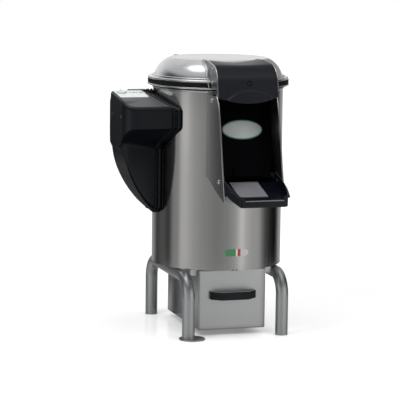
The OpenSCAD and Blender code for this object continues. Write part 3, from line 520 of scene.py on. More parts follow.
# ---------------------------------------------------------------- control housing
HOUSING_X = -(AXIS[0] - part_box("control_housing")[0].x / MM)
HOUSING_REAR = 72
HOUSING_IN = -120
LABEL_MID = (-297, -20, 762.2)
LABEL_TILT = atan2(14.5, 111)
HEAD_SIDE = [(72, 745), (66, 758), (54, 766), (36, 769), (-75, 754.5), (-130, 731), (-139, 724),
             (-139, 661), (-100, 626), (-60, 600), (72, 600)]
LOWER_SIDE = [(72, 740), (-110, 740), (-110, 470), (-60, 400), (-38, 384), (-10, 376), (40, 380),
              (66, 410), (72, 460)]
BEND_R, BEND_Z, BEND_ANGLE = 370, 660, 49
LOWER_FRONT = ([(HOUSING_IN, 800), (HOUSING_X, 800)]
               + arc((HOUSING_X + BEND_R, BEND_Z), BEND_R, 180, 180 + BEND_ANGLE, 14)
               + [(-208, 371), (HOUSING_IN, 371)])
REAR_CORNER = arc((HOUSING_X + 36, HOUSING_REAR - 36), 36, 90, 180, 8)
HEAD_PLAN = (arc((HOUSING_X + 48, -139 + 48), 48, 180, 270, 10)
             + [(HOUSING_IN, -139), (HOUSING_IN, HOUSING_REAR)] + REAR_CORNER)
LOWER_PLAN = (arc((HOUSING_X + 18, -78), 18, 180, 285, 8)
              + [(-204, -52), (HOUSING_IN, -52), (HOUSING_IN, HOUSING_REAR)] + REAR_CORNER)
EDGE_W, EDGE_STEP, HOUSING_GAP = 25, 5, 3.5
SINK_R, SINK_Z = 5, 697
HOUSING_ROUND, HOUSING_FILLET = 9, 16


def housing_shape(g):
    """Distances from the points of g to the housing's outer face, before its inner side is cut."""
    head = both(g.across_x(HEAD_SIDE), g.across_z(HEAD_PLAN), HOUSING_ROUND)
    lower = both(g.across_x(LOWER_SIDE), g.across_y(LOWER_FRONT), HOUSING_ROUND)
    lower = both(lower, g.across_z(LOWER_PLAN), HOUSING_ROUND)
    shape = either(head, lower, HOUSING_FILLET)
    u, back, up = g.x - LABEL_MID[0], g.y - LABEL_MID[1], g.z - LABEL_MID[2]
    v = back * cos(LABEL_TILT) + up * sin(LABEL_TILT)
    w = up * cos(LABEL_TILT) - back * sin(LABEL_TILT)
    fall = np.maximum(np.maximum(50 - u, v - 58), -(w + (u - 50) / 3) * 0.95)
    shape = both(shape, -fall, 3)
    hump = both(g.block((-287, 38, 740), (HOUSING_IN, 68, 771.5)), g.radius() - 400, 2)
    return both(either(shape, hump, 2), HOUSING_X + 0.4 - g.x, 1)


EDGE_SLOPE = 2.5
g = Field((-352, -144, 364), (-114, 78, 778), 2.5)
from_barrel = g.radius() - BARREL_R
housing = housing_shape(g) + EDGE_STEP * np.clip((EDGE_W - from_barrel) / EDGE_SLOPE, 0, 1)
housing = both(housing, HOUSING_GAP - from_barrel, 2)
for y in (-84, 26):
    sink = np.maximum(np.hypot(g.y - y, g.z - SINK_Z) - SINK_R, g.x - (HOUSING_X + 1.6))
    housing = both(housing, -sink, 0.5)
make("housing_moulding", *surface_net(g, housing), "machine", housing_black, "black_plastic",
     ["control_housing"], 60)


class Points(Field):
    """Loose points that take a shape's distances like a field's grid."""

    def __init__(self, x, y, z):
        self.x, self.y, self.z = x, y, z


BEAD_STEP, BEAD_SIDES, RIB_PITCH = 1.3, 14, 7.5


def edge_loop(from_barrel, outwards):
    """The closed line where the housing's face, moved outwards, meets a cylinder round the barrel."""
    r = BARREL_R + from_barrel
    mid_z = 600
    turns = around(720)
    reach = np.linspace(20, 260, 481)
    arc_at = reach[None, :] * np.cos(turns)[:, None]
    z = mid_z + reach[None, :] * np.sin(turns)[:, None]
    x, y = r * np.cos(pi + arc_at / r), r * np.sin(pi + arc_at / r)
    out = housing_shape(Points(x, y, z)) - outwards > 0
    first = np.argmax(out, 1)
    rows = np.arange(len(turns))
    loop = np.stack([x[rows, first], y[rows, first], z[rows, first]], 1)
    closed = np.vstack([loop, loop[:1]])
    length = np.r_[0, np.cumsum(np.linalg.norm(np.diff(closed, axis=0), axis=1))]
    at = np.linspace(0, length[-1], int(length[-1] / BEAD_STEP), endpoint=False)
    even = np.stack([np.interp(at, length, closed[:, i]) for i in range(3)], 1)
    for _ in range(10):
        even = (np.roll(even, 1, 0) + 2 * even + np.roll(even, -1, 0)) / 4
    return even


def bead(from_barrel, outwards, r, ribs=0.0):
    """A round bead along the housing's edge, with ribs across it."""
    loop = edge_loop(from_barrel, outwards)
    ahead = np.roll(loop, -1, 0) - np.roll(loop, 1, 0)
    ahead /= np.linalg.norm(ahead, axis=1)[:, None]
    away = loop * [1, 1, 0]
    away -= (away * ahead).sum(1)[:, None] * ahead
    away /= np.linalg.norm(away, axis=1)[:, None]
    side = np.cross(ahead, away)
    steps = np.arange(len(loop)) * BEAD_STEP
    radius = r * (1 + ribs * np.cos(2 * pi * steps / RIB_PITCH))
    rows = [loop + radius[:, None] * (cos(t) * away + sin(t) * side) for t in around(BEAD_SIDES)]
    return rings(rows, close_rows=True)


make("housing_beads", *merged(bead(6, -4.6, 5.6), bead(18, -4.8, 5.4, 0.2)), "machine", housing_black,
     "black_plastic", ["housing_gasket"], 60)


def on_label(points, at):
    """Stands a shape drawn about Z on the label, at (across, up) from its middle."""
    move = Matrix.Translation(LABEL_MID) @ Matrix.Rotation(LABEL_TILT, 4, "X") @ Matrix.Translation((*at, 0))
    return turned(points, move)


def knob_shape(r, h, flutes):
    """A knob with a rounded top, flutes round its side and a raised pointer."""
    profile = [(0, 1.6), (r - 0.6, 1.6), (r, 2.2), (r, h - 1.6), (r - 0.5, h - 0.5), (r - 1.6, h),
               (r * 0.55, h), (r * 0.5, h - 0.5), (0, h - 0.5)]
    points, faces = lathe(profile, 96, closed=False)
    angle, radius = np.arctan2(points[:, 1], points[:, 0]), np.hypot(points[:, 0], points[:, 1])
    on_side = np.clip((radius - r * 0.8) / (r * 0.2), 0, 1)
    pull = 1 - 0.035 * on_side * (0.5 + 0.5 * np.cos(angle * flutes))
    points[:, :2] *= pull[:, None]
    return points, faces


KNOB_R, KNOB_H, KNOB_AT = 16, 8.2, (-26, 18)
points, faces = knob_shape(KNOB_R, KNOB_H, 18)
make("timer_knob_cap", on_label(points, KNOB_AT), faces, "timer", pale_plastic, "pale_plastic",
     ["timer_knob"], 40)
pointer = [(-1.4, 4), (1.4, 4), (1.4, KNOB_R - 1), (0, KNOB_R - 0.2), (-1.4, KNOB_R - 1)]
count = len(pointer)
points, faces = rings([[(x * scale, y, z) for x, y in pointer]
                       for scale, z in ((1, KNOB_H - 0.6), (0.7, KNOB_H + 0.5))])
faces.insert(0, tuple(range(count, 2 * count)))
make("timer_pointer", on_label(points, KNOB_AT), faces, "timer", black_moulding, "black_plastic")
BUTTONS = (("start", (8, 20), green_cap, "button_green"), ("stop", (32, 20), red_cap, "button_red"))
for name, at, cap, slot_name in BUTTONS:
    profile = [(0, -4), (8, -4), (8, 2.6), (7.6, 3.6), (6.8, 4.1), (5.2, 4.0), (3, 3.6), (0, 3.5)]
    points, faces = lathe(profile, 48, closed=False)
    make(f"{name}_cap", on_label(points, at), faces, name, cap, slot_name, [f"{name}_button"], 40)
    ring_profile = [(8.45, 1.2), (8.45, 2.0), (8.9, 2.4), (10.2, 2.4), (10.8, 1.9), (10.8, 1.2)]
    points, faces = lathe(ring_profile, 48)
    make(f"{name}_collar", on_label(points, at), faces, "machine", polished, "polished_steel")

# ---------------------------------------------------------------- lid
DOME_TOP = 876.5
DOME_C, DOME_ARC = (128.75, 802.33), 80
SHEET = 1.5
outside = [(0, DOME_TOP - 0.8), (150, DOME_TOP - 0.8), (153, DOME_TOP - 0.4), (155, DOME_TOP)]
outside += [(r, z) for r, z in arc(DOME_C, DOME_ARC, 68, 12, 20)]
outside += [(207, 812), (207, 807)]
inside_of = [(205.5, 807)] + arc(DOME_C, DOME_ARC - SHEET, 12, 68, 12) + [(0, DOME_TOP - 2.3)]
make("lid_dome_sheet", *lathe(outside + inside_of, 192, closed=False), "lid", dome_steel, "polished_steel",
     ["lid_dome"], 50)
band = [(206.4, 815.6), (206.8, 819.4)] + arc((210.6, 820.4), 3.2, 170, -20, 10)
band += [(214.6, 817.4), (217.4, 816.7)] + arc((223.2, 814), 3.2, 110, -45, 12)
band += [(225.6, 810.8), (226.4, 810.2), (224, 810), (224, 794.4), (227.6, 794.4)]
band += [(228.4, 793.4), (228.5, 791.2), (228, 790), (227.2, 789.7), (212, 789.7), (212, 791.2), (226, 791.2)]
band += [(226.3, 792.6), (222.2, 793), (222.2, 809.3), (220.6, 813), (217, 814.8)]
make("lid_band", *lathe(band, 192), "lid", polished, "polished_steel", ["lid_rim_band"], 40)
RIBS, RIB_HIGH, RIBS_FROM = 288, 0.5, 225
rubber_band = [(224.05, 794.6), (226.4, 794.6), (227.2, 796), (227.2, 799.4), (226.4, 800.4), (227.2, 801.4),
               (227.2, 808.2), (226.4, 809.6), (224.05, 809.6)]
points, faces = lathe(rubber_band, 1152)
reach = np.hypot(points[:, 0], points[:, 1])
rib = RIB_HIGH * np.maximum(0, np.cos(RIBS * np.arctan2(points[:, 1], points[:, 0]))) * (reach > RIBS_FROM)
points[:, :2] *= ((reach + rib) / reach)[:, None]
under = [(208.2, 789.6), (208.2, 786.4), (210, 785.5), (213, 785.5), (215, 786.6), (215, 789.6)]
make("lid_rubber", *merged((points, faces), lathe(under, 192)), "lid", rubber, "black_rubber",
     ["lid_seal"], 40)

# ---------------------------------------------------------------- visor
NOSE_C, NOSE_R = (-243, 812), 58
VISOR_HALF, SPLAY, SPLAY_FROM = 96.3, tan(radians(3.2)), -303
DISH_Z, DISH_RISE = 869.5, 10
LIP_R, LIP_Z = 265, 755
GRIP_X, GRIP_R, GRIP_TOP = 8, 112, 797.5
LEDGE, LEDGE_FALL = 6.5, 5
GRIP_END = 66
FLAT_R, DISH_SOFT, VISOR_WALL = 159, 3.0, 3


def visor_side_path(out=0.0):
    """The visor's outer face seen from the side, from the lid forwards and down, as (y, z)."""
    path = [(-118, 877.6 + out), (-150, 878.6 + out), (-185, 879.2 + out)]
    path += arc(NOSE_C, NOSE_R + out, 98, 172, 24) + [(-307 - out, 785), (-311.5 - out, 748)]
    path = np.array(path)
    length = np.r_[0, np.cumsum(np.linalg.norm(np.diff(path, axis=0), axis=1))]
    at = np.linspace(0, length[-1], 160)
    even = np.stack([np.interp(at, length, path[:, 0]), np.interp(at, length, path[:, 1])], 1)
    for _ in range(8):
        even[1:-1] = (even[:-2] + 2 * even[1:-1] + even[2:]) / 4
    return even


side_path = visor_side_path()


def visor_width(y):
    return VISOR_HALF - np.maximum(0, y - SPLAY_FROM) * SPLAY


def visor_dish(x):
    return DISH_Z + DISH_RISE * (x / VISOR_HALF) ** 2


across = np.linspace(-1, 1, 121)
along = np.linspace(0, 1, 161)
path_at = np.linspace(0, 1, len(side_path))
rows = []
for s in across:
    x_near = s * visor_width(-180)
    z_near = min(float(visor_dish(x_near)), 878.5)
    edge = FLAT_R
    if z_near < DOME_TOP:
        edge = DOME_C[0] + sqrt(max(0, DOME_ARC ** 2 - (z_near - DOME_C[1]) ** 2))
    edge = max(edge, FLAT_R) + 0.4
    y_start = -sqrt(edge ** 2 - x_near ** 2)
    x_lip = s * VISOR_HALF
    z_end = LIP_Z + LIP_R - sqrt(LIP_R ** 2 - x_lip ** 2)
    from_at = np.interp(-y_start, -side_path[:, 0], path_at)
    to_at = np.interp(-z_end, -side_path[:, 1][60:], path_at[60:])
    at = from_at + (to_at - from_at) * along
    y = np.interp(at, path_at, side_path[:, 0])
    z = np.interp(at, path_at, side_path[:, 1])
    x = s * visor_width(y)
    gap = z - visor_dish(x)
    z = z - np.where(y > -300, DISH_SOFT * np.logaddexp(0, gap / DISH_SOFT), 0)
    ridge = GRIP_TOP - GRIP_R + np.sqrt(np.maximum(0, GRIP_R ** 2 - (x - GRIP_X) ** 2))
    push = np.clip((ridge - z) / LEDGE_FALL, 0, 1)
    fade = np.clip((GRIP_END - x) / 8, 0, 1)
    y = y - LEDGE * push * push * (3 - 2 * push) * (z < 800) * (0.35 + 0.65 * fade)
    rows.append(np.stack([x, y, z], 1))
rows = np.array(rows)
count_s, count_a = rows.shape[:2]
faces = [(i * count_a + j, (i + 1) * count_a + j, (i + 1) * count_a + j + 1, i * count_a + j + 1)
         for i in range(count_s - 1) for j in range(count_a - 1)]
visor = make("visor_moulding", rows.reshape(-1, 3), faces, "lid", visor_black, "black_plastic", ["visor"], 45)
wall = visor.modifiers.new("Wall", "SOLIDIFY")
wall.thickness = VISOR_WALL * MM
wall.offset = -1
wall.use_even_offset = True


def flange_frame(points, side):
    """Points of a side flange, drawn with its inner face at x = 0, for one side of the visor."""
    p = np.asarray(points, float) - [0, SPLAY_FROM, 0]
    a = atan(SPLAY)
    x, y = p[:, 0], p[:, 1]
    p = np.stack([x * cos(a) - y * sin(a), x * sin(a) + y * cos(a), p[:, 2]], 1)
    p += [VISOR_HALF + 0.2, SPLAY_FROM, 0]
    return p * [side, 1, 1]


hem_in, hem_out = visor_side_path(-0.6), visor_side_path(2.4)
grow = np.clip((872 - hem_in[:, 1:]) / 20, 0, 1)
hem_line = hem_in + (hem_out - hem_in) * grow
hem_line = hem_line[hem_line[:, 1] > 790]
FLANGE_REAR = [(-137, 876.5), (-151, 867), (-167, 858), (-189, 838), (-206, 814), (-217, 796)]
for side, name in SIDES:
    path = flange_frame([(1.6, y, z) for y, z in hem_line], side)
    make(f"visor_{name}_hem", *sweep(path, 1.75), "lid", polished, "polished_steel")
    path = [(side * (VISOR_HALF + 3), y, z) for y, z in FLANGE_REAR]
    make(f"visor_{name}_rear_hem", *sweep(path, 1.5), "lid", polished, "polished_steel")


def screw_head(r, h, socket=0.45):
    """A domed head with a six-sided socket, drawn about Z and standing on z = 0."""
    sides = 48
    dome = [(r, -0.4), (r, 0.25 * h)]
    dome += [(r * cos(radians(a)), (0.25 + 0.75 * sin(radians(a))) * h)
             for a in (20, 40, 56)]
    rows = [circle(radius, z, sides) for radius, z in dome]
    for scale, z in ((1.04, 0.94 * h), (1.0, 0.9 * h), (0.96, 0.35 * h), (0.02, 0.3 * h)):
        row = []
        for t in around(sides):
            reach = 0.93 * socket * r * scale / cos(t % (pi / 3) - pi / 6)
            row.append((reach * cos(t), reach * sin(t), z))
        rows.append(row)
    points, faces = rings(rows)
    return np.array(points), faces


VISOR_SCREWS, VISOR_DOT = ((-238, 857), (-238, 815)), (1.45, -228, 856)
for side, name in SIDES:
    head, faces = screw_head(5.0, 2.8, 0.5)
    head = in_x(head, (1, 0, 0))
    heads = [(flange_frame(head + [0.6, y, z], side), faces) for y, z in VISOR_SCREWS]
    dot, faces = lathe([(0, 0), (2.6, 0), (2.6, 0.15), (0, 0.15)], 24, closed=False)
    heads.append((flange_frame(in_x(dot, VISOR_DOT), side), faces))
    make(f"visor_{name}_screws", *merged(*heads), "lid", polished, "polished_steel",
         ["visor_fixings"] if side < 0 else (), crease=50)

# ---------------------------------------------------------------- cheeks
CHEEK_X = 97
CHEEK_FRONT = [(-387, 466), (-379, 496), (-363, 552), (-345, 636), (-327, 710), (-313, 751), (-302, 771),
               (-294, 775)]
for side, name in SIDES:
    path = np.array([(side * (CHEEK_X - 0.2), y + 1.0, z) for y, z in CHEEK_FRONT])
    make(f"{name}_cheek_hem", *sweep(path, 2.5), "machine", polished, "polished_steel")
    for at in ((-244, 759), (-325, 514)):
        points, faces = screw_head(7, 3.6)
        make(f"{name}_cheek_screw_{int(at[1])}", in_x(points, (side * (CHEEK_X + 1.0), *at)), faces,
             "machine", polished, "polished_steel", crease=50)

# ---------------------------------------------------------------- tray
TRAY_LOW, TRAY_REACH, TRAY_END = 452, 480, 296
TRAY_RISE = tan(radians(16.7))
TRAY_POST, TRAY_HALF, TRAY_FRONT_HALF, TRAY_CORNER = 34, 95.1, 79, 11
TRAY_END_Z = TRAY_LOW + (TRAY_REACH - TRAY_END) * TRAY_RISE
TRAY_WALL, RAIL_LIFT = 3, 29


def tray_side(lift, far):
    """The tray seen from the side, with its floor lifted and its ends and top moved out."""
    front, end = -TRAY_REACH - far, -TRAY_END + far
    top = [(-447, 497), (-403, 511), (-366, 521), (-306, 536)]
    return ([(front, TRAY_LOW + lift - far * TRAY_RISE), (front, TRAY_LOW + TRAY_POST + far)]
            + [(y, z + far) for y, z in top]
            + [(end, top[-1][1] + far), (end, TRAY_END_Z + lift + far * TRAY_RISE)])


def tray_plan(d):
    """The tray seen from above, moved out by d."""
    x, y, r = TRAY_FRONT_HALF - TRAY_CORNER, TRAY_CORNER - TRAY_REACH, TRAY_CORNER + d
    flank = [(TRAY_HALF - 5 + d, -428), (TRAY_HALF + d, -388), (TRAY_HALF + d, -TRAY_END - d)]
    corners = arc((-x, y), r, 180, 270, 6) + arc((x, y), r, 270, 360, 6)
    return corners + flank + [(-a, b) for a, b in flank[::-1]]


g = Field((-99, -484, 448), (99, -292, 541), 1.6)
outer = both(g.across_x(tray_side(0, 0)), g.across_z(tray_plan(0)), 3)
rail_plan = [(-83, -TRAY_REACH), (83, -TRAY_REACH), (TRAY_HALF - 2, -424), (TRAY_HALF, -392)]
rail_plan += [(-TRAY_HALF, -392), (-TRAY_HALF + 2, -424)]
rail = both(g.across_x(tray_side(RAIL_LIFT, 0)), g.across_z(rail_plan), 1.5)
tray = either(outer, rail, 1)
hollow = both(g.across_x(tray_side(TRAY_WALL, 20)), g.across_z(tray_plan(-TRAY_WALL)), 4)
tray = both(tray, -hollow, 1.3)
mouth = g.block((-61, -500, 474), (61, -470, 560))
tray = both(tray, -mouth, 1.3)
groove = np.hypot(g.y + 471.5, g.z - (TRAY_LOW + 3.2 + 8.5 * TRAY_RISE)) - 2.2
tray = both(tray, -np.maximum(groove, np.abs(g.x) - 66), 0.5)
make("tray_moulding", *surface_net(g, tray), "machine", black_moulding, "black_plastic", ["chute_tray"], 60)
TRAY_RIM = [(74.6, -475.6, 462), (75, -475.6, 474), (76, -475, 485), (83.5, -447, 496), (90.7, -403, 510),
            (92.6, -366, 520), (92.6, -306, 535)]
for side, name in SIDES:
    rim = [(side * x, y, z) for x, y, z in TRAY_RIM]
    make(f"tray_{name}_rim", *sweep(rim, 3.7, squash=0.5), "machine", housing_black, "black_plastic")
strip = [(-60, -478.1, 473), (0, -478.1, 473.2), (64, -478.1, 473.4)]
make("tray_lip_strip", *sweep(strip, 1.7), "machine", sheet_steel, "polished_steel")
inner = [(89.5, -306, 507), (89.5, -357, 491.5), (86, -396, 480)]
make("tray_inner_rib", *sweep(inner, 1.3), "machine", black_moulding, "black_plastic")

# ---------------------------------------------------------------- door
DOOR_SLOPE = radians(21.1)
DOOR_TOP = (-218, 755)
DOOR_LOW_Z, DOOR_IN_Z = 520, 523
PIVOT = (-244, 759)
door_low_y = DOOR_TOP[0] - (DOOR_TOP[1] - DOOR_LOW_Z) * tan(DOOR_SLOPE)
DOOR_SIDE = [DOOR_TOP, (door_low_y, DOOR_LOW_Z), (door_low_y + 10, DOOR_LOW_Z), (-200, 530), (-180, 530),
             (-180, 755)]
DOOR_VIEW = [(-94, 800), (-94, 580), (-80, 545), (-80, 500), (80, 500), (80, 545), (94, 580), (94, 800)]


def door_y(z):
    """The door's front face at a height."""
    return DOOR_TOP[0] - (DOOR_TOP[1] - z) * tan(DOOR_SLOPE)


def on_door(points, z):
    """Stands a shape drawn about Z on the door's front face."""
    move = Matrix.Translation((0, door_y(z), z))
    return turned(points, move @ Matrix.Rotation(pi / 2 - DOOR_SLOPE, 4, "X"))


g = Field((-98, -324, 512), (98, -176, 776), 2.2)
door = both(g.across_x(DOOR_SIDE), g.across_y(DOOR_VIEW), 3)
ear_sheet = np.abs(np.abs(g.x) - 91.7) - 2.25
ear = both(np.hypot(g.y - PIVOT[0], g.z - PIVOT[1]) - 12, ear_sheet, 1)
web = both(g.across_x([(-244, 771), (-256, 759), (-246, 690), (-230, 690), (-218, 755)]), ear_sheet, 1)
door = either(door, np.minimum(ear, web), 1)
lean, grip_z, grip_y = pi / 2 - DOOR_SLOPE, g.z - DOOR_IN_Z, g.y - door_y(DOOR_IN_Z)
z_in = grip_z * cos(lean) - grip_y * sin(lean)
y_in = grip_y * cos(lean) + grip_z * sin(lean)
GRIP_OUT, GRIP_POCKET = 47, 40
across_grip = np.hypot(g.x, y_in)
grip = both(np.maximum(across_grip - GRIP_OUT, -y_in), np.abs(z_in - 5) - 7, 3)
pocket = np.maximum(np.maximum(across_grip - GRIP_POCKET, -y_in), np.abs(z_in - 7) - 2.2)
door = either(door, both(grip, -pocket, 1), 2)
door = both(door, BARREL_R + 1 - g.radius(), 1.5)
make("door_moulding", *surface_net(g, door), "door", door_black, "black_plastic", ["door_shell"], 60)


def oval(w, h, profile):
    """An oval plate drawn about Z: profile gives (share of the radius, inset, height)."""
    n = 96
    rows = []
    for share, inset, z in profile:
        rows.append([((w / 2 - inset) * share * cos(t), (h / 2 - inset) * share * sin(t), z)
                     for t in around(n)])
    points, faces = rings(rows)
    last = (len(rows) - 1) * n
    return np.array(points), faces + [tuple(range(last, last + n))]


BADGE_W, BADGE_H, BADGE_Z = 133, 64, 667
edge_rows = [(1, 0, 0), (1, 0, 1.2), (1, 0.6, 2), (1, 1.6, 2.3), (1, 3.2, 2.3), (1, 3.8, 1.9)]
points, faces = oval(BADGE_W, BADGE_H, edge_rows)
make("badge_edge", on_door(points, BADGE_Z), faces[:-1], "door", badge_edge, "button_green")
dome_rows = [(1, 3.5, 1.2), (1, 3.6, 2.0), (1, 4.4, 2.4)]
dome_rows += [(share, 4.4, 2.4 + 0.5 * (1 - share ** 2)) for share in (0.9, 0.75, 0.5, 0.25, 0.05)]
points, faces = oval(BADGE_W, BADGE_H, dome_rows)
make("badge_plate", on_door(points, BADGE_Z), faces, "door", badge_face, "badge_grey", ["door_badge"])

# ---------------------------------------------------------------- drawer
drawer_low, drawer_high = (np.array(c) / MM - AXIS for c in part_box("drawer_front"))
drawer_high[2] = BASE_Z - 1.2
PANEL_Y = drawer_low[1]
middle, half = (drawer_low + drawer_high) / 2, (drawer_high - drawer_low) / 2
g = Field(drawer_low - 2, drawer_high + 2, 1.6)
panel = both(np.abs(g.x - middle[0]) - half[0], PANEL_Y - g.y, 4)
panel = both(panel, np.abs(g.z - middle[2]) - half[2], 3.5)
panel = both(panel, g.y - drawer_high[1], 0.5)
inner = g.block(drawer_low + 2.4, drawer_high + [-2.4, 30, -2.4])
panel = both(panel, -inner, 0.6)
make("drawer_panel", *surface_net(g, panel), "drawer", drawer_steel, "brushed_steel", ["drawer_front"], 50)

HANDLE_HALF, HANDLE_Z, HANDLE_OUT, BAR, SLANT = 76, 131, 36, 12, 30
bow = [(-HANDLE_HALF, PANEL_Y), (-HANDLE_HALF, PANEL_Y - 10), (-HANDLE_HALF + SLANT, PANEL_Y - HANDLE_OUT)]
bow += [(-x, y) for x, y in bow[::-1]]
gap = [(-HANDLE_HALF + BAR, PANEL_Y + 9), (-HANDLE_HALF + BAR, PANEL_Y - 7),
       (-HANDLE_HALF + SLANT + 2, PANEL_Y - HANDLE_OUT + BAR)]
gap += [(-x, y) for x, y in gap[::-1]]
g = Field((-80, PANEL_Y - 39, HANDLE_Z - 17), (80, PANEL_Y + 3, HANDLE_Z + 17), 1.2)
bar = both(g.across_z(bow), -g.across_z(gap), 1.8)
bar = both(bar, np.abs(g.z - HANDLE_Z) - 13, 2.2)
make("handle_bow", *surface_net(g, bar), "drawer", handle_black, "black_plastic", ["drawer_handle"], 60)

# ---------------------------------------------------------------- small parts
points, faces = lathe([(0, 0), (5.8, 0), (5.8, 1.2), (5.6, 1.4), (0, 1.4)], 40, closed=False)
NOSE_LEAN = Matrix.Rotation(radians(81), 4, "X")
turn = Matrix.Translation((5.5, -302.6, 816)) @ NOSE_LEAN
make("visor_plug", turned(points, turn), faces, "lid", visor_black, "black_plastic", crease=50)
points, faces = lathe([(5.6, 0), (8.2, 0), (8.2, 1.6), (7.9, 1.9), (5.8, 1.9), (5.6, 1.6)], 40)
make("visor_plug_ring", turned(points, turn), faces, "lid", door_black, "black_plastic")
points, faces = lathe([(0, 0), (2.4, 0), (2.4, 1.0), (0, 1.2)], 24, closed=False)
turn = Matrix.Translation((62, -308.6, 782)) @ NOSE_LEAN
make("visor_ridge_end", turned(points, turn), faces, "lid", door_black, "black_plastic")

LEG_X, LEG_Y, LEG_R, LEG_BEND = 156, 215, 20, 65
run_z = BASE_Z - LEG_R
front_bend = arc((-LEG_Y + LEG_BEND, run_z - LEG_BEND), LEG_BEND, 180, 90, 36)
leg_line = [(-LEG_Y, 0), (-LEG_Y, 60)] + front_bend
leg_line += [(0, run_z)] + [(-y, z) for y, z in reversed(leg_line)]
for side, name in SIDES:
    path = [(side * LEG_X, y, z) for y, z in leg_line]
    make(f"{name}_leg_tube", *sweep(path, LEG_R, 64), "machine", tube_satin, "satin_tube",
         [f"{name}_leg_frame"], 40)
    lip = [(-12, -10), (12, -10), (12, 10), (-12, 10)]
    points = [(side * 123.5 + x, y, 202.2 + z) for y in (-159, -157.2) for x, z in lip]
    faces = [(0, 1, 2, 3), (7, 6, 5, 4)] + [(i, 4 + i, 4 + (i + 1) % 4, (i + 1) % 4) for i in range(4)]
    add_bevel(make(f"{name}_bracket_face", points, faces, "machine", bracket_steel, "brushed_steel"), 0.6)
nub, faces = lathe([(0, 0), (2.0, 0), (2.0, 1.2), (1.4, 1.7), (0, 1.8)], 20, closed=False)
for number, x in enumerate((-8.7, 3.3)):
    stand = Matrix.Translation((x, -BARREL_R + 0.2, BASE_Z + 1.2)) @ Matrix.Rotation(pi / 2, 4, "X")
    make(f"barrel_edge_rivet_{number}", turned(nub, stand), faces, "machine", rubber, "black_rubber")
weld_line = [(x - LEG_X, y - LEG_Y, z) for x, y, z in circle(LEG_R + 0.6, 4.6, 48)]
make("floor_flange_weld", *sweep(weld_line, 1.7, 8, closed=True), "machine", tube_satin, "satin_tube")

# ---------------------------------------------------------------- floor, backdrop and light
FLOOR, FLOOR_WHITE, FLOOR_MIRRORED = 14, 0.86, 0.55


def math_value(n, link, operation, first, second):
    """The result of a calculation with two sockets."""
    node = n.new("ShaderNodeMath")
    node.operation = operation
    link(first, node.inputs[0])
    link(second, node.inputs[1])
    return node.outputs["Value"]


floor_mesh = bpy.data.meshes.new("floor")
corners = [(-FLOOR, -FLOOR, 0), (FLOOR, -FLOOR, 0), (FLOOR, FLOOR, 0), (-FLOOR, FLOOR, 0)]
floor_mesh.from_pydata(corners, [], [(0, 1, 2, 3)])
new_object("floor", floor_mesh)
m = bpy.data.materials.new("floor_white")
m.use_nodes = True
n, link = m.node_tree.nodes, m.node_tree.links.new
shader = set_inputs(n["Principled BSDF"], Roughness=0.18, Specular_IOR_Level=0.6,
                    Emission_Color=(0.44, 0.44, 0.44, 1))
rays = n.new("ShaderNodeLightPath")
tone = color_mix(n)
link(rays.outputs["Is Glossy Ray"], tone.inputs["Factor"])
tone.inputs[6].default_value = (FLOOR_WHITE, FLOOR_WHITE, FLOOR_WHITE, 1)
tone.inputs[7].default_value = (FLOOR_MIRRORED, FLOOR_MIRRORED, FLOOR_MIRRORED, 1)
# Ambient occlusion darkens the floor's colour and its glow near the machine: a painted contact shadow.
near = set_inputs(n.new("ShaderNodeAmbientOcclusion"), Distance=0.11)
near.samples = 8
painted_contact_shadow = set_inputs(n.new("ShaderNodeMapRange"), From_Min=0.1, From_Max=0.85, To_Min=0.48)
link(near.outputs["AO"], painted_contact_shadow.inputs["Value"])
link(math_value(n, link, "MULTIPLY", rays.outputs["Is Camera Ray"], painted_contact_shadow.outputs["Result"]),
     shader.inputs["Emission Strength"])
shade = color_mix(n, "MULTIPLY", 1)
link(tone.outputs[2], shade.inputs[6])
link(painted_contact_shadow.outputs["Result"], shade.inputs[7])
# Behind the machine the floor's mirror image of itself goes dark.
split = n.new("ShaderNodeSeparateXYZ")
link(n.new("ShaderNodeNewGeometry").outputs["Position"], split.inputs["Vector"])
behind = set_inputs(n.new("ShaderNodeMapRange"), From_Min=0.55, From_Max=0.95, To_Max=0.85)
link(split.outputs["Y"], behind.inputs["Value"])
dim = color_mix(n)
mirrored = math_value(n, link, "MULTIPLY", behind.outputs["Result"], rays.outputs["Is Glossy Ray"])
link(mirrored, dim.inputs["Factor"])
link(shade.outputs[2], dim.inputs[6])
dim.inputs[7].default_value = (0, 0, 0, 1)
link(dim.outputs[2], shader.inputs["Base Color"])
floor_mesh.materials.append(m)

world = bpy.data.worlds.new("studio")
scene.world = world
world.use_nodes = True
n, link = world.node_tree.nodes, world.node_tree.links.new
n.clear()
soft_light = set_inputs(n.new("ShaderNodeBackground"), Strength=0.45)
white = set_inputs(n.new("ShaderNodeBackground"), Color=(1, 1, 1, 1), Strength=1.0)
rays = n.new("ShaderNodeLightPath").outputs
seen = math_value(n, link, "MAXIMUM", rays["Is Camera Ray"], rays["Is Glossy Ray"])
mix = n.new("ShaderNodeMixShader")
link(math_value(n, link, "MAXIMUM", seen, rays["Is Transmission Ray"]), mix.inputs["Fac"])
link(soft_light.outputs["Background"], mix.inputs[1])
link(white.outputs["Background"], mix.inputs[2])
link(mix.outputs["Shader"], n.new("ShaderNodeOutputWorld").inputs["Surface"])

CAMERA_ANGLE = 17.688
center = Vector((AXIS[0] * MM, AXIS[1] * MM, 0))

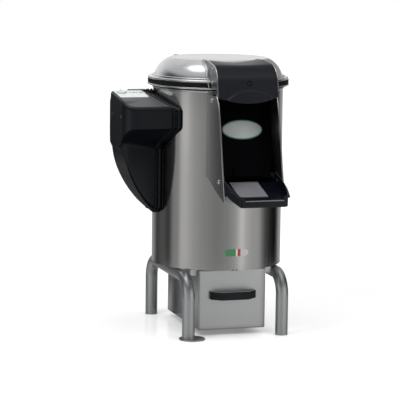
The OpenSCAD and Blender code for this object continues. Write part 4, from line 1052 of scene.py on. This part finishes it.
# A tent round the machine that only reflections see. Angles are counted from the photograph's side.
TENT_R, WALL_TOP = 1.3, 0.9
WALL_LIGHT = [(-180, 0.55), (-152, 0.42), (-141, 0.38), (-130, 0.20), (-122, 0.06), (-110, 0.14), (-98, 0.14),
              (-90, 0.07), (-84, 0.10), (-77, 0.38), (-72, 0.41), (-66, 0.43), (-61, 0.78), (-52, 0.82),
              (-46, 0.72), (-37, 0.58), (-22, 0.45), (2, 0.34), (20, 0.42),
              (33, 0.62), (43, 1.10), (50, 0.78), (62, 0.62), (76, 0.58), (84, 0.30), (90, 0.12), (104, 0.03),
              (120, 0.0), (130, 0.12), (138, 0.42), (160, 0.50), (180, 0.55)]
SKY, ZENITH, WAIST = 0.62, 0.88, 0.30
SOFTBOX_AT, SOFTBOX_SIZE, SOFTBOX = (-55, 58), 12, 2.4


def smooth(value, low, high):
    t = min(1.0, max(0.0, (value - low) / (high - low)))
    return t * t * (3 - 2 * t)


def tent_light(angle, height, rise):
    """The tent's brightness at an angle, at a height on its wall and a rise in degrees on its cap."""
    wall = float(np.interp(angle, *zip(*WALL_LIGHT)))
    rear = smooth(abs(angle), 95, 135)
    light = wall + rear * (0.95 - wall) * smooth(height, 0.70, 0.90)
    light += (1 - rear) * (WAIST * wall - wall) * smooth(height, 0.62, 0.85)
    dark = smooth(angle, -172, -164) * (1 - smooth(angle, -134, -126))
    light *= 1 - 0.93 * dark * smooth(height, 0.18, 0.28) * (1 - smooth(height, 0.70, 0.85))
    light *= 1 + 0.16 * smooth(angle, -68, -58) * (1 - smooth(angle, -50, -42)) * smooth(height, 0.35, 0.55)
    light += (SKY + 0.2 * rear - light) * smooth(rise, 15, 26)
    right = smooth(angle, 95, 115) * (1 - smooth(angle, 162, 172)) * smooth(height, 0.75, 0.88)
    light *= 1 - 0.62 * right * (1 - smooth(rise, 42, 55))
    light += (ZENITH - light) * smooth(rise, 55, 72)
    a, b = (radians(x) for x in (rise, SOFTBOX_AT[1]))
    apart = degrees(acos(min(1, sin(a) * sin(b) + cos(a) * cos(b)
                                       * cos(radians(0.75 * (angle - SOFTBOX_AT[0]))))))
    return light + SOFTBOX * (1 - smooth(apart, SOFTBOX_SIZE - 4, SOFTBOX_SIZE + 5))


def tent():
    """The tent's mesh, with its brightness as a colour at each point."""
    sides = 120
    levels = [(h, 0.0) for h in np.linspace(0, WALL_TOP, 10)]
    levels += [(WALL_TOP, e) for e in np.linspace(4, 88, 22)]
    turns = [-180 + 360 * i / sides for i in range(sides)]
    rows, lights = [], []
    for height, rise in levels:
        r, z = TENT_R * cos(radians(rise)), height + TENT_R * sin(radians(rise))
        rows.append([(center.x + r * sin(radians(t - CAMERA_ANGLE)),
                      center.y - r * cos(radians(t - CAMERA_ANGLE)), z) for t in turns])
        lights += [tent_light(t, height, rise) for t in turns]
    points, faces = rings(rows)
    mesh = bpy.data.meshes.new("tent")
    mesh.from_pydata(points, [], faces)
    mesh.shade_smooth()
    colors = mesh.color_attributes.new("light", "FLOAT_COLOR", "POINT")
    for i, value in enumerate(lights):
        colors.data[i].color = (value, value, value, 1)
    piece = new_object("tent", mesh)
    m = bpy.data.materials.new("tent_glow")
    m.use_nodes = True
    n, link = m.node_tree.nodes, m.node_tree.links.new
    n.clear()
    light = n.new("ShaderNodeAttribute")
    light.attribute_name = "light"
    glow = n.new("ShaderNodeEmission")
    link(light.outputs["Color"], glow.inputs["Color"])
    link(glow.outputs["Emission"], n.new("ShaderNodeOutputMaterial").inputs["Surface"])
    m.cycles.emission_sampling = "NONE"
    mesh.materials.append(m)
    for kind in ("camera", "diffuse", "shadow", "transmission", "volume_scatter"):
        setattr(piece, f"visible_{kind}", False)


tent()


def lamp(name, angle, elevation, far, size, watts):
    """A soft square lamp aimed at the machine's middle. The angle is counted from the photograph's side."""
    light = bpy.data.lights.new(name, "AREA")
    light.shape = "SQUARE"
    light.size = size
    light.energy = watts
    piece = new_object(name, light)
    a = radians(angle - 90 - CAMERA_ANGLE)
    e = radians(elevation)
    aim = center + Vector((0, 0, 0.5))
    piece.location = aim + far * Vector((cos(a) * cos(e), sin(a) * cos(e), sin(e)))
    piece.rotation_euler = (aim - piece.location).to_track_quat("-Z", "Y").to_euler()
    piece.visible_glossy = False


lamp("key", -42, 48, 3.2, 1.3, 55)
lamp("fill", 50, 40, 3.4, 1.6, 30)
lamp("top", 0, 86, 3.0, 1.8, 30)

# ---------------------------------------------------------------- camera
PHOTO = 400
LENS_PIXELS, SENSOR = 2060.1, 36
PHOTO_MIDDLE = (216.78, 181.78)
FAR, HEIGHT, AIM_Z, ROLL = 6.65125, 1.3491, 0.470, 0.805
camera_data = bpy.data.cameras.new("camera")
camera = new_object("camera", camera_data)
a = radians(CAMERA_ANGLE)
eye = center + Vector((-sin(a) * FAR, -cos(a) * FAR, HEIGHT))
look = center + Vector((0, 0, AIM_Z)) - eye
camera.matrix_world = (Matrix.Translation(eye) @ look.to_track_quat("-Z", "Y").to_matrix().to_4x4()
                       @ Matrix.Rotation(radians(ROLL), 4, "Z"))
camera_data.sensor_width = SENSOR
camera_data.lens = LENS_PIXELS / PHOTO * SENSOR
camera_data.shift_x = (PHOTO / 2 - PHOTO_MIDDLE[0]) / PHOTO
camera_data.shift_y = (PHOTO_MIDDLE[1] - PHOTO / 2) / PHOTO
camera_data.clip_end = 60
scene.camera = camera
scene.view_settings.view_transform = "Standard"
